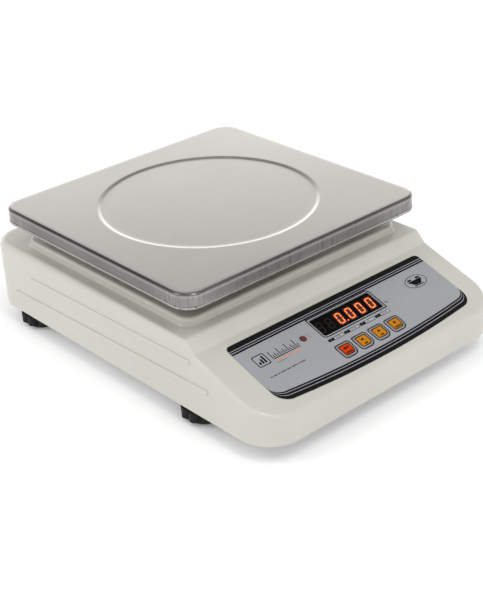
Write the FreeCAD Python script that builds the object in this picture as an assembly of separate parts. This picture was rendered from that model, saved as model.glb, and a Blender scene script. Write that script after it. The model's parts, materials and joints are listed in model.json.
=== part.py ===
import FreeCAD, Part
import math, os
from FreeCAD import Vector as V

# Bench scale: a stainless weighing pan on a load cell, in a moulded housing with a
# sloping display and key panel at the front. Millimetres. +Z up, +Y to the rear,
# +X to the operator's right. Origin at the table surface, under the middle of the housing.

# ---- driving dimensions ----
BODY_W = 284.0          # housing width
BODY_D = 389.0          # housing depth
BODY_BOT = 17.0         # clearance under the housing rim
SHELF_Z = 83.0          # top of the housing around the pan
PLAT_Z = 90.5           # top of the raised plateau under the pan
PAN_TOP = 122.0         # top of the weighing pan
WALL = 3.0              # housing wall
R_FRONT = 32.0          # vertical corner radius, front
R_REAR = 26.0           # vertical corner radius, rear
R_TOP = 7.0             # rounding of the upper side edges, at the rear
R_EDGE = 3.0            # the same edges beside the sloping panel
R_NOSE = 4.2            # rounding of the front upper edge
SLOPE = 18.3            # panel slope in degrees
PAN_Y = 33.5            # pan centre
PAN_W = 280.0
PAN_D = 270.0
PAN_R = 19.0
PAN_T = 1.0             # pan sheet
PAN_SKIRT = 15.0
RING_R = 100.7          # middle of the pressed ring in the pan
RING_DROP = 1.0
PLAT_W = 256.0
PLAT_D = 237.0
PLAT_R = 13.0
PANEL_O = (0.0, -138.8, 61.7)     # a point of the panel plane
OVER_X = (-113.8, 119.2)          # printed overlay, in panel coordinates
OVER_V = (-46.0, 26.4)
OVER_BOW = 5.2
WIN_X = (-30.2, 41.5)             # clear window in the overlay
WIN_V = (-7.5, 13.5)
KEY_X0 = -32.3                    # left side of the first key
KEY_PITCH = 19.8
KEY_W = 14.5
KEY_V = (-36.1, -22.1)
KEY_TRAVEL = 0.4
LED_XV = (-48.8, 0.2)
FUSE_OUT = 5.5          # how far the fuse cap stands out at the rear
FOOT_X = 121.5
FOOT_Y = (-92.5, 147.5)
KNOB_R = 21.0
KNOB_LOBES = 10
STUD_R = 4.0
CELL = (30.0, 130.0, 22.0)        # load cell width, length, height
CELL_Z = 46.0

Y0 = -BODY_D / 2.0
Y1 = BODY_D / 2.0
Y_SHIFT = -FUSE_OUT / 2.0     # puts the origin under the middle of the whole length, rear fittings included
HW = BODY_W / 2.0
os.makedirs("parts", exist_ok=True)


def box(x0, x1, y0, y1, z0, z1):
    return Part.makeBox(x1 - x0, y1 - y0, z1 - z0, V(x0, y0, z0))


def cyl(x, y, z0, z1, r):
    return Part.makeCylinder(r, z1 - z0, V(x, y, z0), V(0, 0, 1))


def cyl_y(x, z, y0, y1, r):
    return Part.makeCylinder(r, y1 - y0, V(x, y0, z), V(0, 1, 0))


def cyl_x(y, z, x0, x1, r):
    return Part.makeCylinder(r, x1 - x0, V(x0, y, z), V(1, 0, 0))


def rounded_wire(x0, x1, y0, y1, radii, z):
    """radii for corners (x0,y0), (x1,y0), (x1,y1), (x0,y1)."""
    ra, rb, rc, rd = radii
    s = math.sqrt(0.5)
    e = []

    def line(a, b):
        if (b.sub(a)).Length > 1e-6:
            e.append(Part.LineSegment(a, b).toShape())

    def arc(a, m, b):
        if (b.sub(a)).Length > 1e-6:
            e.append(Part.Arc(a, m, b).toShape())

    line(V(x0 + ra, y0, z), V(x1 - rb, y0, z))
    arc(V(x1 - rb, y0, z), V(x1 - rb + rb * s, y0 + rb - rb * s, z), V(x1, y0 + rb, z))
    line(V(x1, y0 + rb, z), V(x1, y1 - rc, z))
    arc(V(x1, y1 - rc, z), V(x1 - rc + rc * s, y1 - rc + rc * s, z), V(x1 - rc, y1, z))
    line(V(x1 - rc, y1, z), V(x0 + rd, y1, z))
    arc(V(x0 + rd, y1, z), V(x0 + rd - rd * s, y1 - rd + rd * s, z), V(x0, y1 - rd, z))
    line(V(x0, y1 - rd, z), V(x0, y0 + ra, z))
    arc(V(x0, y0 + ra, z), V(x0 + ra - ra * s, y0 + ra - ra * s, z), V(x0 + ra, y0, z))
    return Part.Wire(e)


def slab(x0, x1, y0, y1, radii, z0, z1):
    if not isinstance(radii, (tuple, list)):
        radii = (radii,) * 4
    return Part.Face(rounded_wire(x0, x1, y0, y1, radii, z0)).extrude(V(0, 0, z1 - z0))


def fuse(shapes):
    s = shapes[0]
    if len(shapes) > 1:
        s = s.fuse(shapes[1:])
    return s.removeSplitter()


def group(shapes):
    return Part.makeCompound(shapes)


def panel(shape):
    """from panel coordinates (x, up the slope, outward) to the object's."""
    s = shape.copy()
    s.rotate(V(0, 0, 0), V(1, 0, 0), SLOPE)
    s.translate(V(*PANEL_O))
    return s


def hexagon(x, y, z0, z1, af):
    r = af / math.sqrt(3.0)
    p = [V(x + r * math.cos(math.radians(60 * i)), y + r * math.sin(math.radians(60 * i)), z0) for i in range(7)]
    return Part.Face(Part.makePolygon(p)).extrude(V(0, 0, z1 - z0))


def pan_head(x, y, z, up, head_r, head_h, r, length, recess=True):
    """screw with its head's underside at z; the head points up (+1) or down (-1)."""
    if up > 0:
        h = cyl(x, y, z, z + head_h, head_r)
        k = cyl(x, y, z - length, z, r)
        s = h.fuse(k)
        if recess:
            w = head_r * 0.28
            s = s.cut(box(x - head_r * .65, x + head_r * .65, y - w / 2, y + w / 2, z + head_h * .5, z + head_h + 1))
            s = s.cut(box(x - w / 2, x + w / 2, y - head_r * .65, y + head_r * .65, z + head_h * .5, z + head_h + 1))
    else:
        h = cyl(x, y, z - head_h, z, head_r)
        k = cyl(x, y, z, z + length, r)
        s = h.fuse(k)
        if recess:
            w = head_r * 0.28
            s = s.cut(box(x - head_r * .65, x + head_r * .65, y - w / 2, y + w / 2, z - head_h - 1, z - head_h * .5))
            s = s.cut(box(x - w / 2, x + w / 2, y - head_r * .65, y + head_r * .65, z - head_h - 1, z - head_h * .5))
    return s.removeSplitter()


NODES = {}


def out(name, shape):
    ok = shape.isValid()
    solids = shape.Solids
    if len(solids) == 1:
        shape = solids[0]
    placed = shape.copy()
    placed.translate(V(0, Y_SHIFT, 0))
    placed.exportStep("parts/%s.step" % name)
    bb = placed.BoundBox
    print("%-22s %s solids=%d vol=%.0f  [%.1f %.1f %.1f | %.1f %.1f %.1f]" % (
        name, "ok" if ok else "INVALID", len(solids), shape.Volume, bb.XMin, bb.YMin, bb.ZMin, bb.XMax, bb.YMax, bb.ZMax))
    NODES[name] = shape
    return shape


def slope_z(y, off=0.0):
    """height of the panel plane at y, moved off along its normal."""
    t = math.tan(math.radians(SLOPE))
    return PANEL_O[2] + (y - PANEL_O[1]) * t + off / math.cos(math.radians(SLOPE))


# ---- housing ----
def arc_corner(p, a, b, r):
    """tangent arc of radius r at corner p between the lines to a and b: (t1, mid, t2)."""
    ua = a.sub(p).normalize()
    ub = b.sub(p).normalize()
    cosang = ua.dot(ub)
    half = math.acos(max(-1, min(1, cosang))) / 2.0
    d = r / math.tan(half)
    bis = ua.add(ub).normalize()
    c = p.add(bis.multiply(r / math.sin(half)))
    t1 = p.add(V(ua).multiply(d))
    t2 = p.add(V(ub).multiply(d))
    m = p.sub(c).normalize().multiply(r).add(c)
    return t1, m, t2


def profile(points, x0, x1):
    """points: (y, z, radius). A closed YZ outline with tangent arcs, extruded along X."""
    n = len(points)
    P = [V(x0, p[0], p[1]) for p in points]
    e = []
    ends = []
    for i, p in enumerate(points):
        if p[2] > 0:
            ends.append(arc_corner(P[i], P[i - 1], P[(i + 1) % n], p[2]))
        else:
            ends.append((P[i], None, P[i]))
    for i in range(n):
        t1, m, t2 = ends[i]
        if m is not None:
            e.append(Part.Arc(t1, m, t2).toShape())
        nxt = ends[(i + 1) % n][0]
        if nxt.sub(t2).Length > 1e-6:
            e.append(Part.LineSegment(t2, nxt).toShape())
    return Part.Face(Part.Wire(e)).extrude(V(x1 - x0, 0, 0))


RISER_BOT = -106.5       # foot of the riser between panel and shelf
RISER_TOP = -96.0


def outer_profile(z_bot, hw, y0, y1, shelf, off):
    t = math.tan(math.radians(SLOPE))
    yb = RISER_BOT + off * 0.6
    return profile([
        (y0, z_bot, 0),
        (y0, slope_z(y0, -off), 0),
        (yb, slope_z(yb, -off), 7.0),
        (RISER_TOP + off * 0.6, shelf, 6.0),
        (y1, shelf, 0),
        (y1, z_bot, 0),
    ], -hw, hw)


outer = outer_profile(BODY_BOT, HW, Y0, Y1, SHELF_Z, 0.0)
plan = slab(-HW, HW, Y0, Y1, (R_FRONT, R_FRONT, R_REAR, R_REAR), BODY_BOT - 1, 130)
outer = outer.common(plan).removeSplitter()

# round the upper edges: a large radius over the nose, running into a smaller one along the sides
doc = FreeCAD.newDocument("scale")
base = doc.addObject("Part::Feature", "base")
base.Shape = outer
doc.recompute()


def is_top(e):
    if e.BoundBox.ZMax - BODY_BOT < 2:
        return False
    if abs(e.BoundBox.XLength) < .01 and abs(e.BoundBox.YLength) < .01:
        return False          # vertical seams
    c = e.CenterOfMass
    if abs(c.x) < 1 and e.BoundBox.XLength > 150:     # across the housing
        return c.y < Y0 + 1 or c.y > Y1 - 1
    return True


def radius_at(p):
    """R_NOSE at the front, R_EDGE beside the panel, growing to R_TOP at the rear."""
    t = (p.y - Y0) / R_FRONT
    t = max(0.0, min(1.0, t))
    t = t * t * (3 - 2 * t)
    u = max(0.0, min(1.0, (p.y - RISER_TOP - 5) / 150.0))
    return R_NOSE + (R_EDGE - R_NOSE) * t + (R_TOP - R_EDGE) * u


def fillet_top(shape_obj, plain=None):
    edges = []
    for i, e in enumerate(shape_obj.Shape.Edges):
        if is_top(e):
            a = e.valueAt(e.FirstParameter)
            b = e.valueAt(e.LastParameter)
            ra, rb = (radius_at(a), radius_at(b)) if plain is None else (plain, plain)
            if e.Orientation == "Reversed":
                pass
            edges.append((i + 1, ra, rb))
    f = doc.addObject("Part::Fillet", "fil")
    f.Base = shape_obj
    f.Edges = edges
    doc.recompute()
    return f.Shape


done = None
for plain in (None, 9.0, R_TOP, 5.0):
    try:
        s = fillet_top(base, plain)
        if s.isValid() and len(s.Solids) == 1 and s.Volume > outer.Volume * .95:
            done = s
            print("upper edges rounded:", "nose and sides" if plain is None else plain)
            break
    except Exception as ex:
        print("rounding", plain, ex)
shell = done.Solids[0] if done is not None else outer
if done is None:
    print("UPPER EDGES NOT ROUNDED")

# raised plateau under the pan
plat = slab(-PLAT_W / 2, PLAT_W / 2, PAN_Y - PLAT_D / 2, PAN_Y + PLAT_D / 2, PLAT_R, SHELF_Z - 4, PLAT_Z)
plat = plat.makeFillet(3.0, [e for e in plat.Edges if abs(e.BoundBox.ZMin - PLAT_Z) < .01 and e.BoundBox.ZLength < .01])
shell = shell.fuse(plat).removeSplitter()
# soft root where the plateau meets the shelf
root_edges = [e for e in shell.Edges if abs(e.BoundBox.ZMin - SHELF_Z) < .01 and abs(e.BoundBox.ZMax - SHELF_Z) < .01
              and abs(e.CenterOfMass.x) <= PLAT_W / 2 + .1 and e.BoundBox.YMin > PAN_Y - PLAT_D / 2 - .1
              and e.BoundBox.YMax < PAN_Y + PLAT_D / 2 + .1]
try:
    s = shell.makeFillet(2.0, root_edges)
    if s.isValid():
        shell = s
        print("plateau root rounded", len(root_edges))
except Exception as ex:
    print("plateau root", ex)

# cavity
W = WALL
cav = profile([
    (Y0 + W, BODY_BOT - 1, 0),
    (Y0 + W, slope_z(Y0 + W, -W) - 7.0, 0),
    (Y0 + W + 9.0, slope_z(Y0 + W + 9.0, -W), 0),
    (RISER_BOT + 1.5, slope_z(RISER_BOT + 1.5, -W), 0),
    (RISER_TOP + 2.5, SHELF_Z - W, 0),
    (Y1 - W - 2, SHELF_Z - W, 0),
    (Y1 - W, SHELF_Z - W - 2, 0),
    (Y1 - W, BODY_BOT - 1, 0),
], -HW + W, HW - W)
cav = cav.common(slab(-HW + W, HW - W, Y0 + W, Y1 - W, (R_FRONT - W, R_FRONT - W, R_REAR - W, R_REAR - W), 0, 130))
# bevel the cavity's upper side corners so the wall stays even behind the rounding
for sx in (-1, 1):
    c = Part.makeBox(12, BODY_D, 12, V(-6, -BODY_D / 2, -6))
    c.rotate(V(0, 0, 0), V(0, 1, 0), 45)
    c.translate(V(sx * (HW - W + 3.6), 0, SHELF_Z - W + 3.6))
    cav = cav.cut(c)
    c = Part.makeBox(13, 200, 13, V(-6.5, -100, -6.5))
    c.rotate(V(0, 0, 0), V(0, 1, 0), 45)
    c.rotate(V(0, 0, 0), V(1, 0, 0), SLOPE)
    c.translate(V(sx * (HW - W + 3.4), PANEL_O[1] - 10, slope_z(PANEL_O[1] - 10, -W) + 3.4))
    cav = cav.cut(c)
shell = shell.cut(cav)
shell = shell.cut(slab(-PLAT_W / 2 + W, PLAT_W / 2 - W, PAN_Y - PLAT_D / 2 + W, PAN_Y + PLAT_D / 2 - W, PLAT_R - W, SHELF_Z - W - 1, PLAT_Z - W))

# screw bosses for the base plate
BOSS = [(-126, -20), (126, -20), (-126, 100), (126, 100), (-98, -168), (98, -168), (-98, 182), (98, 182)]
PLATE_Z = BODY_BOT + 1.0
PLATE_T = 1.5
bosses = []
for bx, by in BOSS:
    top = (slope_z(by, -WALL) + 1.0) if by < RISER_BOT else SHELF_Z - 1.0
    bosses.append(cyl(bx, by, PLATE_Z + PLATE_T, top, 5.0))
# bosses under the panel for the display board
BRD_N = (-13.0, -11.4)
BRD_X = (-62.0, 60.0)
BRD_V = (-41.0, 16.0)
DB = [(-57, -36.5), (54, -36.5), (-57, 11.5), (54, 11.5)]
for dx, dv in DB:
    bosses.append(panel(cyl(dx, dv, BRD_N[1], -WALL + 1.0, 3.2)))
shell = shell.fuse(bosses).removeSplitter()
for bx, by in BOSS:
    shell = shell.cut(cyl(bx, by, PLATE_Z, PLATE_Z + PLATE_T + 14, 1.6))
for dx, dv in DB:
    shell = shell.cut(panel(cyl(dx, dv, BRD_N[1] - .5, BRD_N[1] + 6, 1.25)))

# opening for the load cell post
POST_Y = PAN_Y - 48.0
shell = shell.cut(slab(-19.5, 19.5, POST_Y - 19.5, POST_Y + 19.5, 6, PLAT_Z - 10, PLAT_Z + 5))

# panel: recess for the overlay, window, key pockets, lamp hole
OV_REC = 0.6
OV_TOP = 0.3


def overlay_outline(grow, n0, n1, bow=OVER_BOW):
    """sheet with small upper corners, large lower ones and a bowed lower edge."""
    x0, x1 = OVER_X[0] - grow, OVER_X[1] + grow
    v0, v1 = OVER_V[0] - grow, OVER_V[1] + grow
    r1, r2 = 5.0 + grow, 14.0 + grow
    s = math.sqrt(.5)
    xm = (x0 + x1) / 2
    e = [
        Part.Arc(V(x0 + r2, v0, n0), V(xm, v0 - bow, n0), V(x1 - r2, v0, n0)).toShape(),
        Part.Arc(V(x1 - r2, v0, n0), V(x1 - r2 + r2 * s, v0 + r2 - r2 * s, n0), V(x1, v0 + r2, n0)).toShape(),
        Part.LineSegment(V(x1, v0 + r2, n0), V(x1, v1 - r1, n0)).toShape(),
        Part.Arc(V(x1, v1 - r1, n0), V(x1 - r1 + r1 * s, v1 - r1 + r1 * s, n0), V(x1 - r1, v1, n0)).toShape(),
        Part.LineSegment(V(x1 - r1, v1, n0), V(x0 + r1, v1, n0)).toShape(),
        Part.Arc(V(x0 + r1, v1, n0), V(x0 + r1 - r1 * s, v1 - r1 + r1 * s, n0), V(x0, v1 - r1, n0)).toShape(),
        Part.LineSegment(V(x0, v1 - r1, n0), V(x0, v0 + r2, n0)).toShape(),
        Part.Arc(V(x0, v0 + r2, n0), V(x0 + r2 - r2 * s, v0 + r2 - r2 * s, n0), V(x0 + r2, v0, n0)).toShape(),
    ]
    return Part.Face(Part.Wire(e)).extrude(V(0, 0, n1 - n0))


def key_shape(i, grow, n0, n1):
    """shield outline: small upper corners, rounded lower ones, the lower right the largest."""
    x0 = KEY_X0 + i * KEY_PITCH
    return slab(x0 - grow, x0 + KEY_W + grow, KEY_V[0] - grow, KEY_V[1] + grow,
                (2.6 + grow, 5.5 + grow, 1.4 + grow, 1.4 + grow), n0, n1)


LENS = (WIN_X[0] - 3.0, WIN_X[1] + 3.0, WIN_V[0] - 2.6, WIN_V[1] + 2.6)
shell = shell.cut(panel(overlay_outline(0.15, -OV_REC, 5)))
shell = shell.cut(panel(slab(LENS[0] - .1, LENS[1] + .1, LENS[2] - .1, LENS[3] + .1, 2.0, -8, 2)))
for i in range(4):
    shell = shell.cut(panel(key_shape(i, 0.5, -1.7, 2)))
    shell = shell.cut(panel(cyl(KEY_X0 + i * KEY_PITCH + KEY_W / 2, (KEY_V[0] + KEY_V[1]) / 2, -8, 2, 4.0)))
shell = shell.cut(panel(cyl(LED_XV[0], LED_XV[1], -8, 2, 2.7)))

# rear wall openings: mains inlet, fuse, switch
INLET_X, FUSE_X, SW_X, REAR_Z = -70.0, -34.0, -4.0, 48.0
shell = shell.cut(box(INLET_X - 14.2, INLET_X + 14.2, Y1 - 8, Y1 + 2, REAR_Z - 10.4, REAR_Z + 10.4))
for sx in (-1, 1):
    shell = shell.cut(cyl_y(INLET_X + sx * 20, REAR_Z, Y1 - 8, Y1 + 2, 1.7))
shell = shell.cut(cyl_y(FUSE_X, REAR_Z, Y1 - 8, Y1 + 2, 6.1))
shell = shell.cut(box(SW_X - 9.7, SW_X + 9.7, Y1 - 8, Y1 + 2, REAR_Z - 6.7, REAR_Z + 6.7))
# ventilation slots at the rear, over the transformer
for i in range(7):
    x = 62 + i * 8
    shell = shell.cut(Part.makeBox(3, 12, 22, V(x - 1.5, Y1 - 8, 36)))

# long pressed ribs along each side wall: a stadium outline, proud of the wall
# middle height at the rear end, front end, rear end, width, rise towards the front in degrees
RIBS = ((59.0, -103.3, 128.0, 4.6, 1.41), (36.0, -124.0, 157.5, 5.0, 1.7))
RIB_H = 1.2
ribs = []
for zc, ya, yb, h, rise in RIBS:
    r = h / 2
    wire = Part.Wire([
        Part.LineSegment(V(0, ya + r, zc - r), V(0, yb - r, zc - r)).toShape(),
        Part.Arc(V(0, yb - r, zc - r), V(0, yb, zc), V(0, yb - r, zc + r)).toShape(),
        Part.LineSegment(V(0, yb - r, zc + r), V(0, ya + r, zc + r)).toShape(),
        Part.Arc(V(0, ya + r, zc + r), V(0, ya, zc), V(0, ya + r, zc - r)).toShape()])
    for sx in (-1, 1):
        p = Part.Face(wire).extrude(V(RIB_H + 1.0, 0, 0))
        if sx < 0:
            p.translate(V(-HW - RIB_H, 0, 0))
            edges = [e for e in p.Edges if abs(e.BoundBox.XMin + HW + RIB_H) < .01 and e.BoundBox.XLength < .01]
        else:
            p.translate(V(HW - 1.0, 0, 0))
            edges = [e for e in p.Edges if abs(e.BoundBox.XMax - HW - RIB_H) < .01 and e.BoundBox.XLength < .01]
        try:
            p = p.makeFillet(0.9, edges)
        except Exception as ex:
            print("rib", ex)
        p.rotate(V(0, yb, zc), V(1, 0, 0), -rise)
        ribs.append(p)
shell = shell.fuse(ribs).removeSplitter()
out("top_cover", shell)

# ---- base plate and what is fixed to it ----
g = WALL + 0.3
plate = slab(-HW + g, HW - g, Y0 + g, Y1 - g, (R_FRONT - g, R_FRONT - g, R_REAR - g, R_REAR - g), PLATE_Z, PLATE_Z + PLATE_T)
for bx, by in BOSS:
    plate = plate.cut(cyl(bx, by, PLATE_Z - 1, PLATE_Z + 5, 2.0))
FEET = [("fl", -FOOT_X, FOOT_Y[0]), ("fr", FOOT_X, FOOT_Y[0]), ("rl", -FOOT_X, FOOT_Y[1]), ("rr", FOOT_X, FOOT_Y[1])]
for n, fx, fy in FEET:
    plate = plate.cut(cyl(fx, fy, PLATE_Z - 1, PLATE_Z + 5, 5.0))
STOP_Y = POST_Y
plate = plate.cut(cyl(0, STOP_Y, PLATE_Z - 1, PLATE_Z + 5, 1.9))     # hex key way to the stop screw
FIX_Y = PAN_Y + 48.0
BOLT_Y = (FIX_Y - 10.0, FIX_Y + 10.0)
PT = PLATE_Z + PLATE_T      # top face of the plate
# holes for the frame, battery bracket and transformer screws
FRAME_SCREWS = [(-34, PAN_Y - 60), (34, PAN_Y - 60), (-34, PAN_Y + 60), (34, PAN_Y + 60)]
BATT_X, BATT_Y = -88.0, 40.0
TR_X, TR_Y = 84.0, 120.0
BATT_SCREWS = [(BATT_X - 31, BATT_Y), (BATT_X + 31, BATT_Y)]
TR_SCREWS = [(TR_X - 33, TR_Y), (TR_X + 33, TR_Y)]
for sx_, sy_ in FRAME_SCREWS + BATT_SCREWS + TR_SCREWS:
    plate = plate.cut(cyl(sx_, sy_, PLATE_Z - 1, PLATE_Z + 5, 2.2))
out("base_plate", plate.removeSplitter())
out("base_plate_screws", group([pan_head(bx, by, PLATE_Z, -1, 3.2, 1.9, 1.55, 12.0) for bx, by in BOSS]))
nuts = []
for n, fx, fy in FEET:
    nuts.append(hexagon(fx, fy, PT, PT + 8.0, 13.0).cut(cyl(fx, fy, PT - 1, PT + 10, STUD_R + 0.06)))
out("foot_weld_nuts", group(nuts))

# base frame: hat section channel along Y, under the load cell
FR_TOP = PT + 20.0
fr = box(-22, 22, PAN_Y - 72, PAN_Y + 72, PT, FR_TOP)
fr = fr.cut(box(-19.5, 19.5, PAN_Y - 80, PAN_Y + 80, PT - 1, FR_TOP - 2.5))
fr = fr.fuse([box(-42, -19.6, PAN_Y - 72, PAN_Y + 72, PT, PT + 2.5), box(19.6, 42, PAN_Y - 72, PAN_Y + 72, PT, PT + 2.5)])
for sx_, sy_ in FRAME_SCREWS:
    fr = fr.cut(cyl(sx_, sy_, PT - 1, PT + 5, 2.2))
for by in BOLT_Y:
    fr = fr.cut(cyl(0, by, PT, FR_TOP + 1, 3.2))
fr = fr.cut(cyl(0, STOP_Y, PT, FR_TOP + 1, 3.05))
out("base_frame", fr.removeSplitter())
chs = []
for sx_, sy_ in FRAME_SCREWS:
    chs.append(pan_head(sx_, sy_, PT + 2.5, 1, 4.0, 2.4, 2.0, 2.5 + PLATE_T + 1.0))
for sx_, sy_ in BATT_SCREWS + TR_SCREWS:
    chs.append(pan_head(sx_, sy_, PT + 1.5, 1, 4.0, 2.4, 2.0, 1.5 + PLATE_T + 1.0))
out("chassis_screws", group(chs))

# load cell: bar with the twin-bore cut-out, fixed at the rear end, carrying the post at the front end
cx, cl, ch = CELL
cy0, cy1 = PAN_Y - cl / 2, PAN_Y + cl / 2
lc = slab(-cx / 2, cx / 2, cy0, cy1, 1.0, CELL_Z, CELL_Z + ch)
mz = CELL_Z + ch / 2
for dy in (-14, 14):
    lc = lc.cut(cyl_x(PAN_Y + dy, mz, -cx, cx, 8.6))
lc = lc.cut(box(-cx, cx, PAN_Y - 14, PAN_Y + 14, mz - 3.0, mz + 3.0))
for by in BOLT_Y:
    lc = lc.cut(cyl(0, by, CELL_Z - 1, CELL_Z + 14, 3.0))
PB_Y = (POST_Y - 10.0, POST_Y + 10.0)
for by in PB_Y:
    lc = lc.cut(cyl(0, by, CELL_Z + ch - 14, CELL_Z + ch + 1, 3.0))
out("load_cell", lc.removeSplitter())
sp = slab(-15, 15, FIX_Y - 17, FIX_Y + 17, 1.0, FR_TOP, CELL_Z)
for by in BOLT_Y:
    sp = sp.cut(cyl(0, by, 0, 100, 3.2))
out("load_cell_spacer", sp)
bl = []
for by in BOLT_Y:
    bl.append(hexagon(0, by, FR_TOP - 2.5 - 4.0, FR_TOP - 2.5, 10.0).fuse(cyl(0, by, FR_TOP - 2.5, CELL_Z + 12, 2.98)).removeSplitter())
out("load_cell_bolts", group(bl))
# overload stop under the free end
STOP_GAP = 0.6
out("overload_stop_screw", cyl(0, STOP_Y, PT + 4, CELL_Z - STOP_GAP, 3.0).cut(
    box(-.6, .6, STOP_Y - 4, STOP_Y + 4, PT + 3, PT + 5.5)).removeSplitter())
out("overload_stop_nut", hexagon(0, STOP_Y, FR_TOP, FR_TOP + 5, 10.0).cut(cyl(0, STOP_Y, 0, 80, 3.02)))

# ---- weighing platform ----
POST_TOP = 101.0
pz0 = CELL_Z + ch
post = slab(-15, 15, POST_Y - 15, POST_Y + 15, 2.0, pz0 + 0.0, POST_TOP)
for by in PB_Y:
    post = post.cut(cyl(0, by, 0, 200, 3.2))
    post = post.cut(cyl(0, by, POST_TOP - 8, POST_TOP + 1, 5.6))
SPB = [(-9.5, POST_Y), (9.5, POST_Y)]
for bx, by in SPB:
    post = post.cut(cyl(bx, by, POST_TOP - 10, POST_TOP + 1, 2.0))
out("spider_post", post.removeSplitter())
out("post_bolts", group([cyl(0, by, POST_TOP - 8, POST_TOP - 2, 5.0).cut(hexagon(0, by, POST_TOP - 5, POST_TOP, 5.0)).fuse(
    cyl(0, by, CELL_Z + ch - 12, POST_TOP - 8, 2.98)).removeSplitter() for by in PB_Y]))
ARM = (108.0, 103.0)        # buffer positions from the pan centre
SPZ0, SPZ1 = POST_TOP, POST_TOP + 5.0
arms = []
for sx in (-1, 1):
    for sy in (-1, 1):
        L = math.hypot(ARM[0], ARM[1])
        a = math.degrees(math.atan2(sy * ARM[1], sx * ARM[0]))
        arm = box(0, L, -9, 9, 0, 5)
        rib = box(0, L - 10, -2.5, 2.5, 5, 12)
        taper = Part.Face(Part.makePolygon([V(L - 75, -3, 5), V(L - 9, -3, 5), V(L - 75, -3, 12.01), V(L - 75, -3, 5)])).extrude(V(0, 6, 0))
        rib = box(0, L - 75, -2.5, 2.5, 5, 12).fuse(taper.common(box(0, L, -2.5, 2.5, 0, 20)))
        s = arm.fuse(rib)
        s.rotate(V(0, 0, 0), V(0, 0, 1), a)
        s.translate(V(0, PAN_Y, SPZ0))
        arms.append(s)
        arms.append(cyl(sx * ARM[0], PAN_Y + sy * ARM[1], SPZ0, SPZ1 + 1.0, 13.0))
hub = slab(-30, 30, POST_Y - 18, PAN_Y + 34, 10, SPZ0, SPZ0 + 5.0)
spider = fuse([hub] + arms)
for by in PB_Y:
    spider = spider.cut(cyl(0, by, SPZ0 - 1, SPZ0 + 20, 6.0))
for bx, by in SPB:
    spider = spider.cut(cyl(bx, by, SPZ0 - 1, SPZ0 + 20, 2.2))
for sx in (-1, 1):
    for sy in (-1, 1):
        spider = spider.cut(cyl(sx * ARM[0], PAN_Y + sy * ARM[1], SPZ0 - 1, SPZ0 + 20, 4.05))
out("spider", spider.removeSplitter())
out("spider_screws", group([pan_head(bx, by, SPZ0 + 5.0, 1, 3.8, 2.4, 1.95, 13.0) for bx, by in SPB]))
PAN_UNDER = PAN_TOP - PAN_T
BUF_Z = SPZ1 + 1.0
bufs = []
for sx in (-1, 1):
    for sy in (-1, 1):
        bx, by = sx * ARM[0], PAN_Y + sy * ARM[1]
        b = cyl(bx, by, BUF_Z, PAN_UNDER - 0.3, 9.0)
        b = b.makeFillet(1.5, [e for e in b.Edges if abs(e.BoundBox.ZMin - (PAN_UNDER - 0.3)) < .01 and e.BoundBox.ZLength < .01])
        b = b.fuse([cyl(bx, by, SPZ0 - 1.5, BUF_Z, 4.0), cyl(bx, by, SPZ0 - 3.5, SPZ0 - 0.0, 6.0)]).removeSplitter()
        bufs.append(b)
out("pan_buffers", group(bufs))

# ---- pan ----
px0, px1, py0, py1 = -PAN_W / 2, PAN_W / 2, PAN_Y - PAN_D / 2, PAN_Y + PAN_D / 2
PZ0 = PAN_TOP - PAN_SKIRT
o = slab(px0, px1, py0, py1, PAN_R, PZ0, PAN_TOP)
o = o.makeFillet(2.8, [e for e in o.Edges if abs(e.BoundBox.ZMin - PAN_TOP) < .01 and e.BoundBox.ZLength < .01])
i_ = slab(px0 + PAN_T, px1 - PAN_T, py0 + PAN_T, py1 - PAN_T, PAN_R - PAN_T, PZ0 - 1, PAN_TOP - PAN_T)
i_ = i_.makeFillet(1.8, [e for e in i_.Edges if abs(e.BoundBox.ZMin - (PAN_TOP - PAN_T)) < .01 and e.BoundBox.ZLength < .01])
pan = o.cut(i_)
# folded hem inside the skirt
hem = slab(px0 + PAN_T, px1 - PAN_T, py0 + PAN_T, py1 - PAN_T, PAN_R - PAN_T, PZ0, PZ0 + 6.0).cut(
    slab(px0 + 2 * PAN_T, px1 - 2 * PAN_T, py0 + 2 * PAN_T, py1 - 2 * PAN_T, PAN_R - 2 * PAN_T, PZ0 - 1, PZ0 + 7))
pan = pan.fuse(hem)
# round panel pressed down inside the ring
RW = 2.4


def ring_profile(z_top, drop, rin, rout, z_cap):
    return Part.Face(Part.makePolygon([V(0, 0, z_top - drop), V(rin, 0, z_top - drop), V(rout, 0, z_top), V(rout, 0, z_cap), V(0, 0, z_cap), V(0, 0, z_top - drop)])).revolve(
        V(0, 0, 0), V(0, 0, 1), 360)


low = ring_profile(PAN_UNDER, RING_DROP, RING_R - RW, RING_R + RW, PAN_UNDER + .01)
low.translate(V(0, PAN_Y, 0))
top = ring_profile(PAN_TOP, RING_DROP, RING_R - RW, RING_R + RW, PAN_TOP + 5)
top.translate(V(0, PAN_Y, 0))
pan = pan.fuse(low).cut(top).removeSplitter()
out("weighing_pan", pan)
cups = []
for sx in (-1, 1):
    for sy in (-1, 1):
        bx, by = sx * ARM[0], PAN_Y + sy * ARM[1]
        cups.append(cyl(bx, by, PAN_UNDER - 5.0, PAN_UNDER, 11.2).cut(cyl(bx, by, PAN_UNDER - 6, PAN_UNDER + 1, 9.7)))
out("pan_locating_cups", group(cups))

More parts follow.
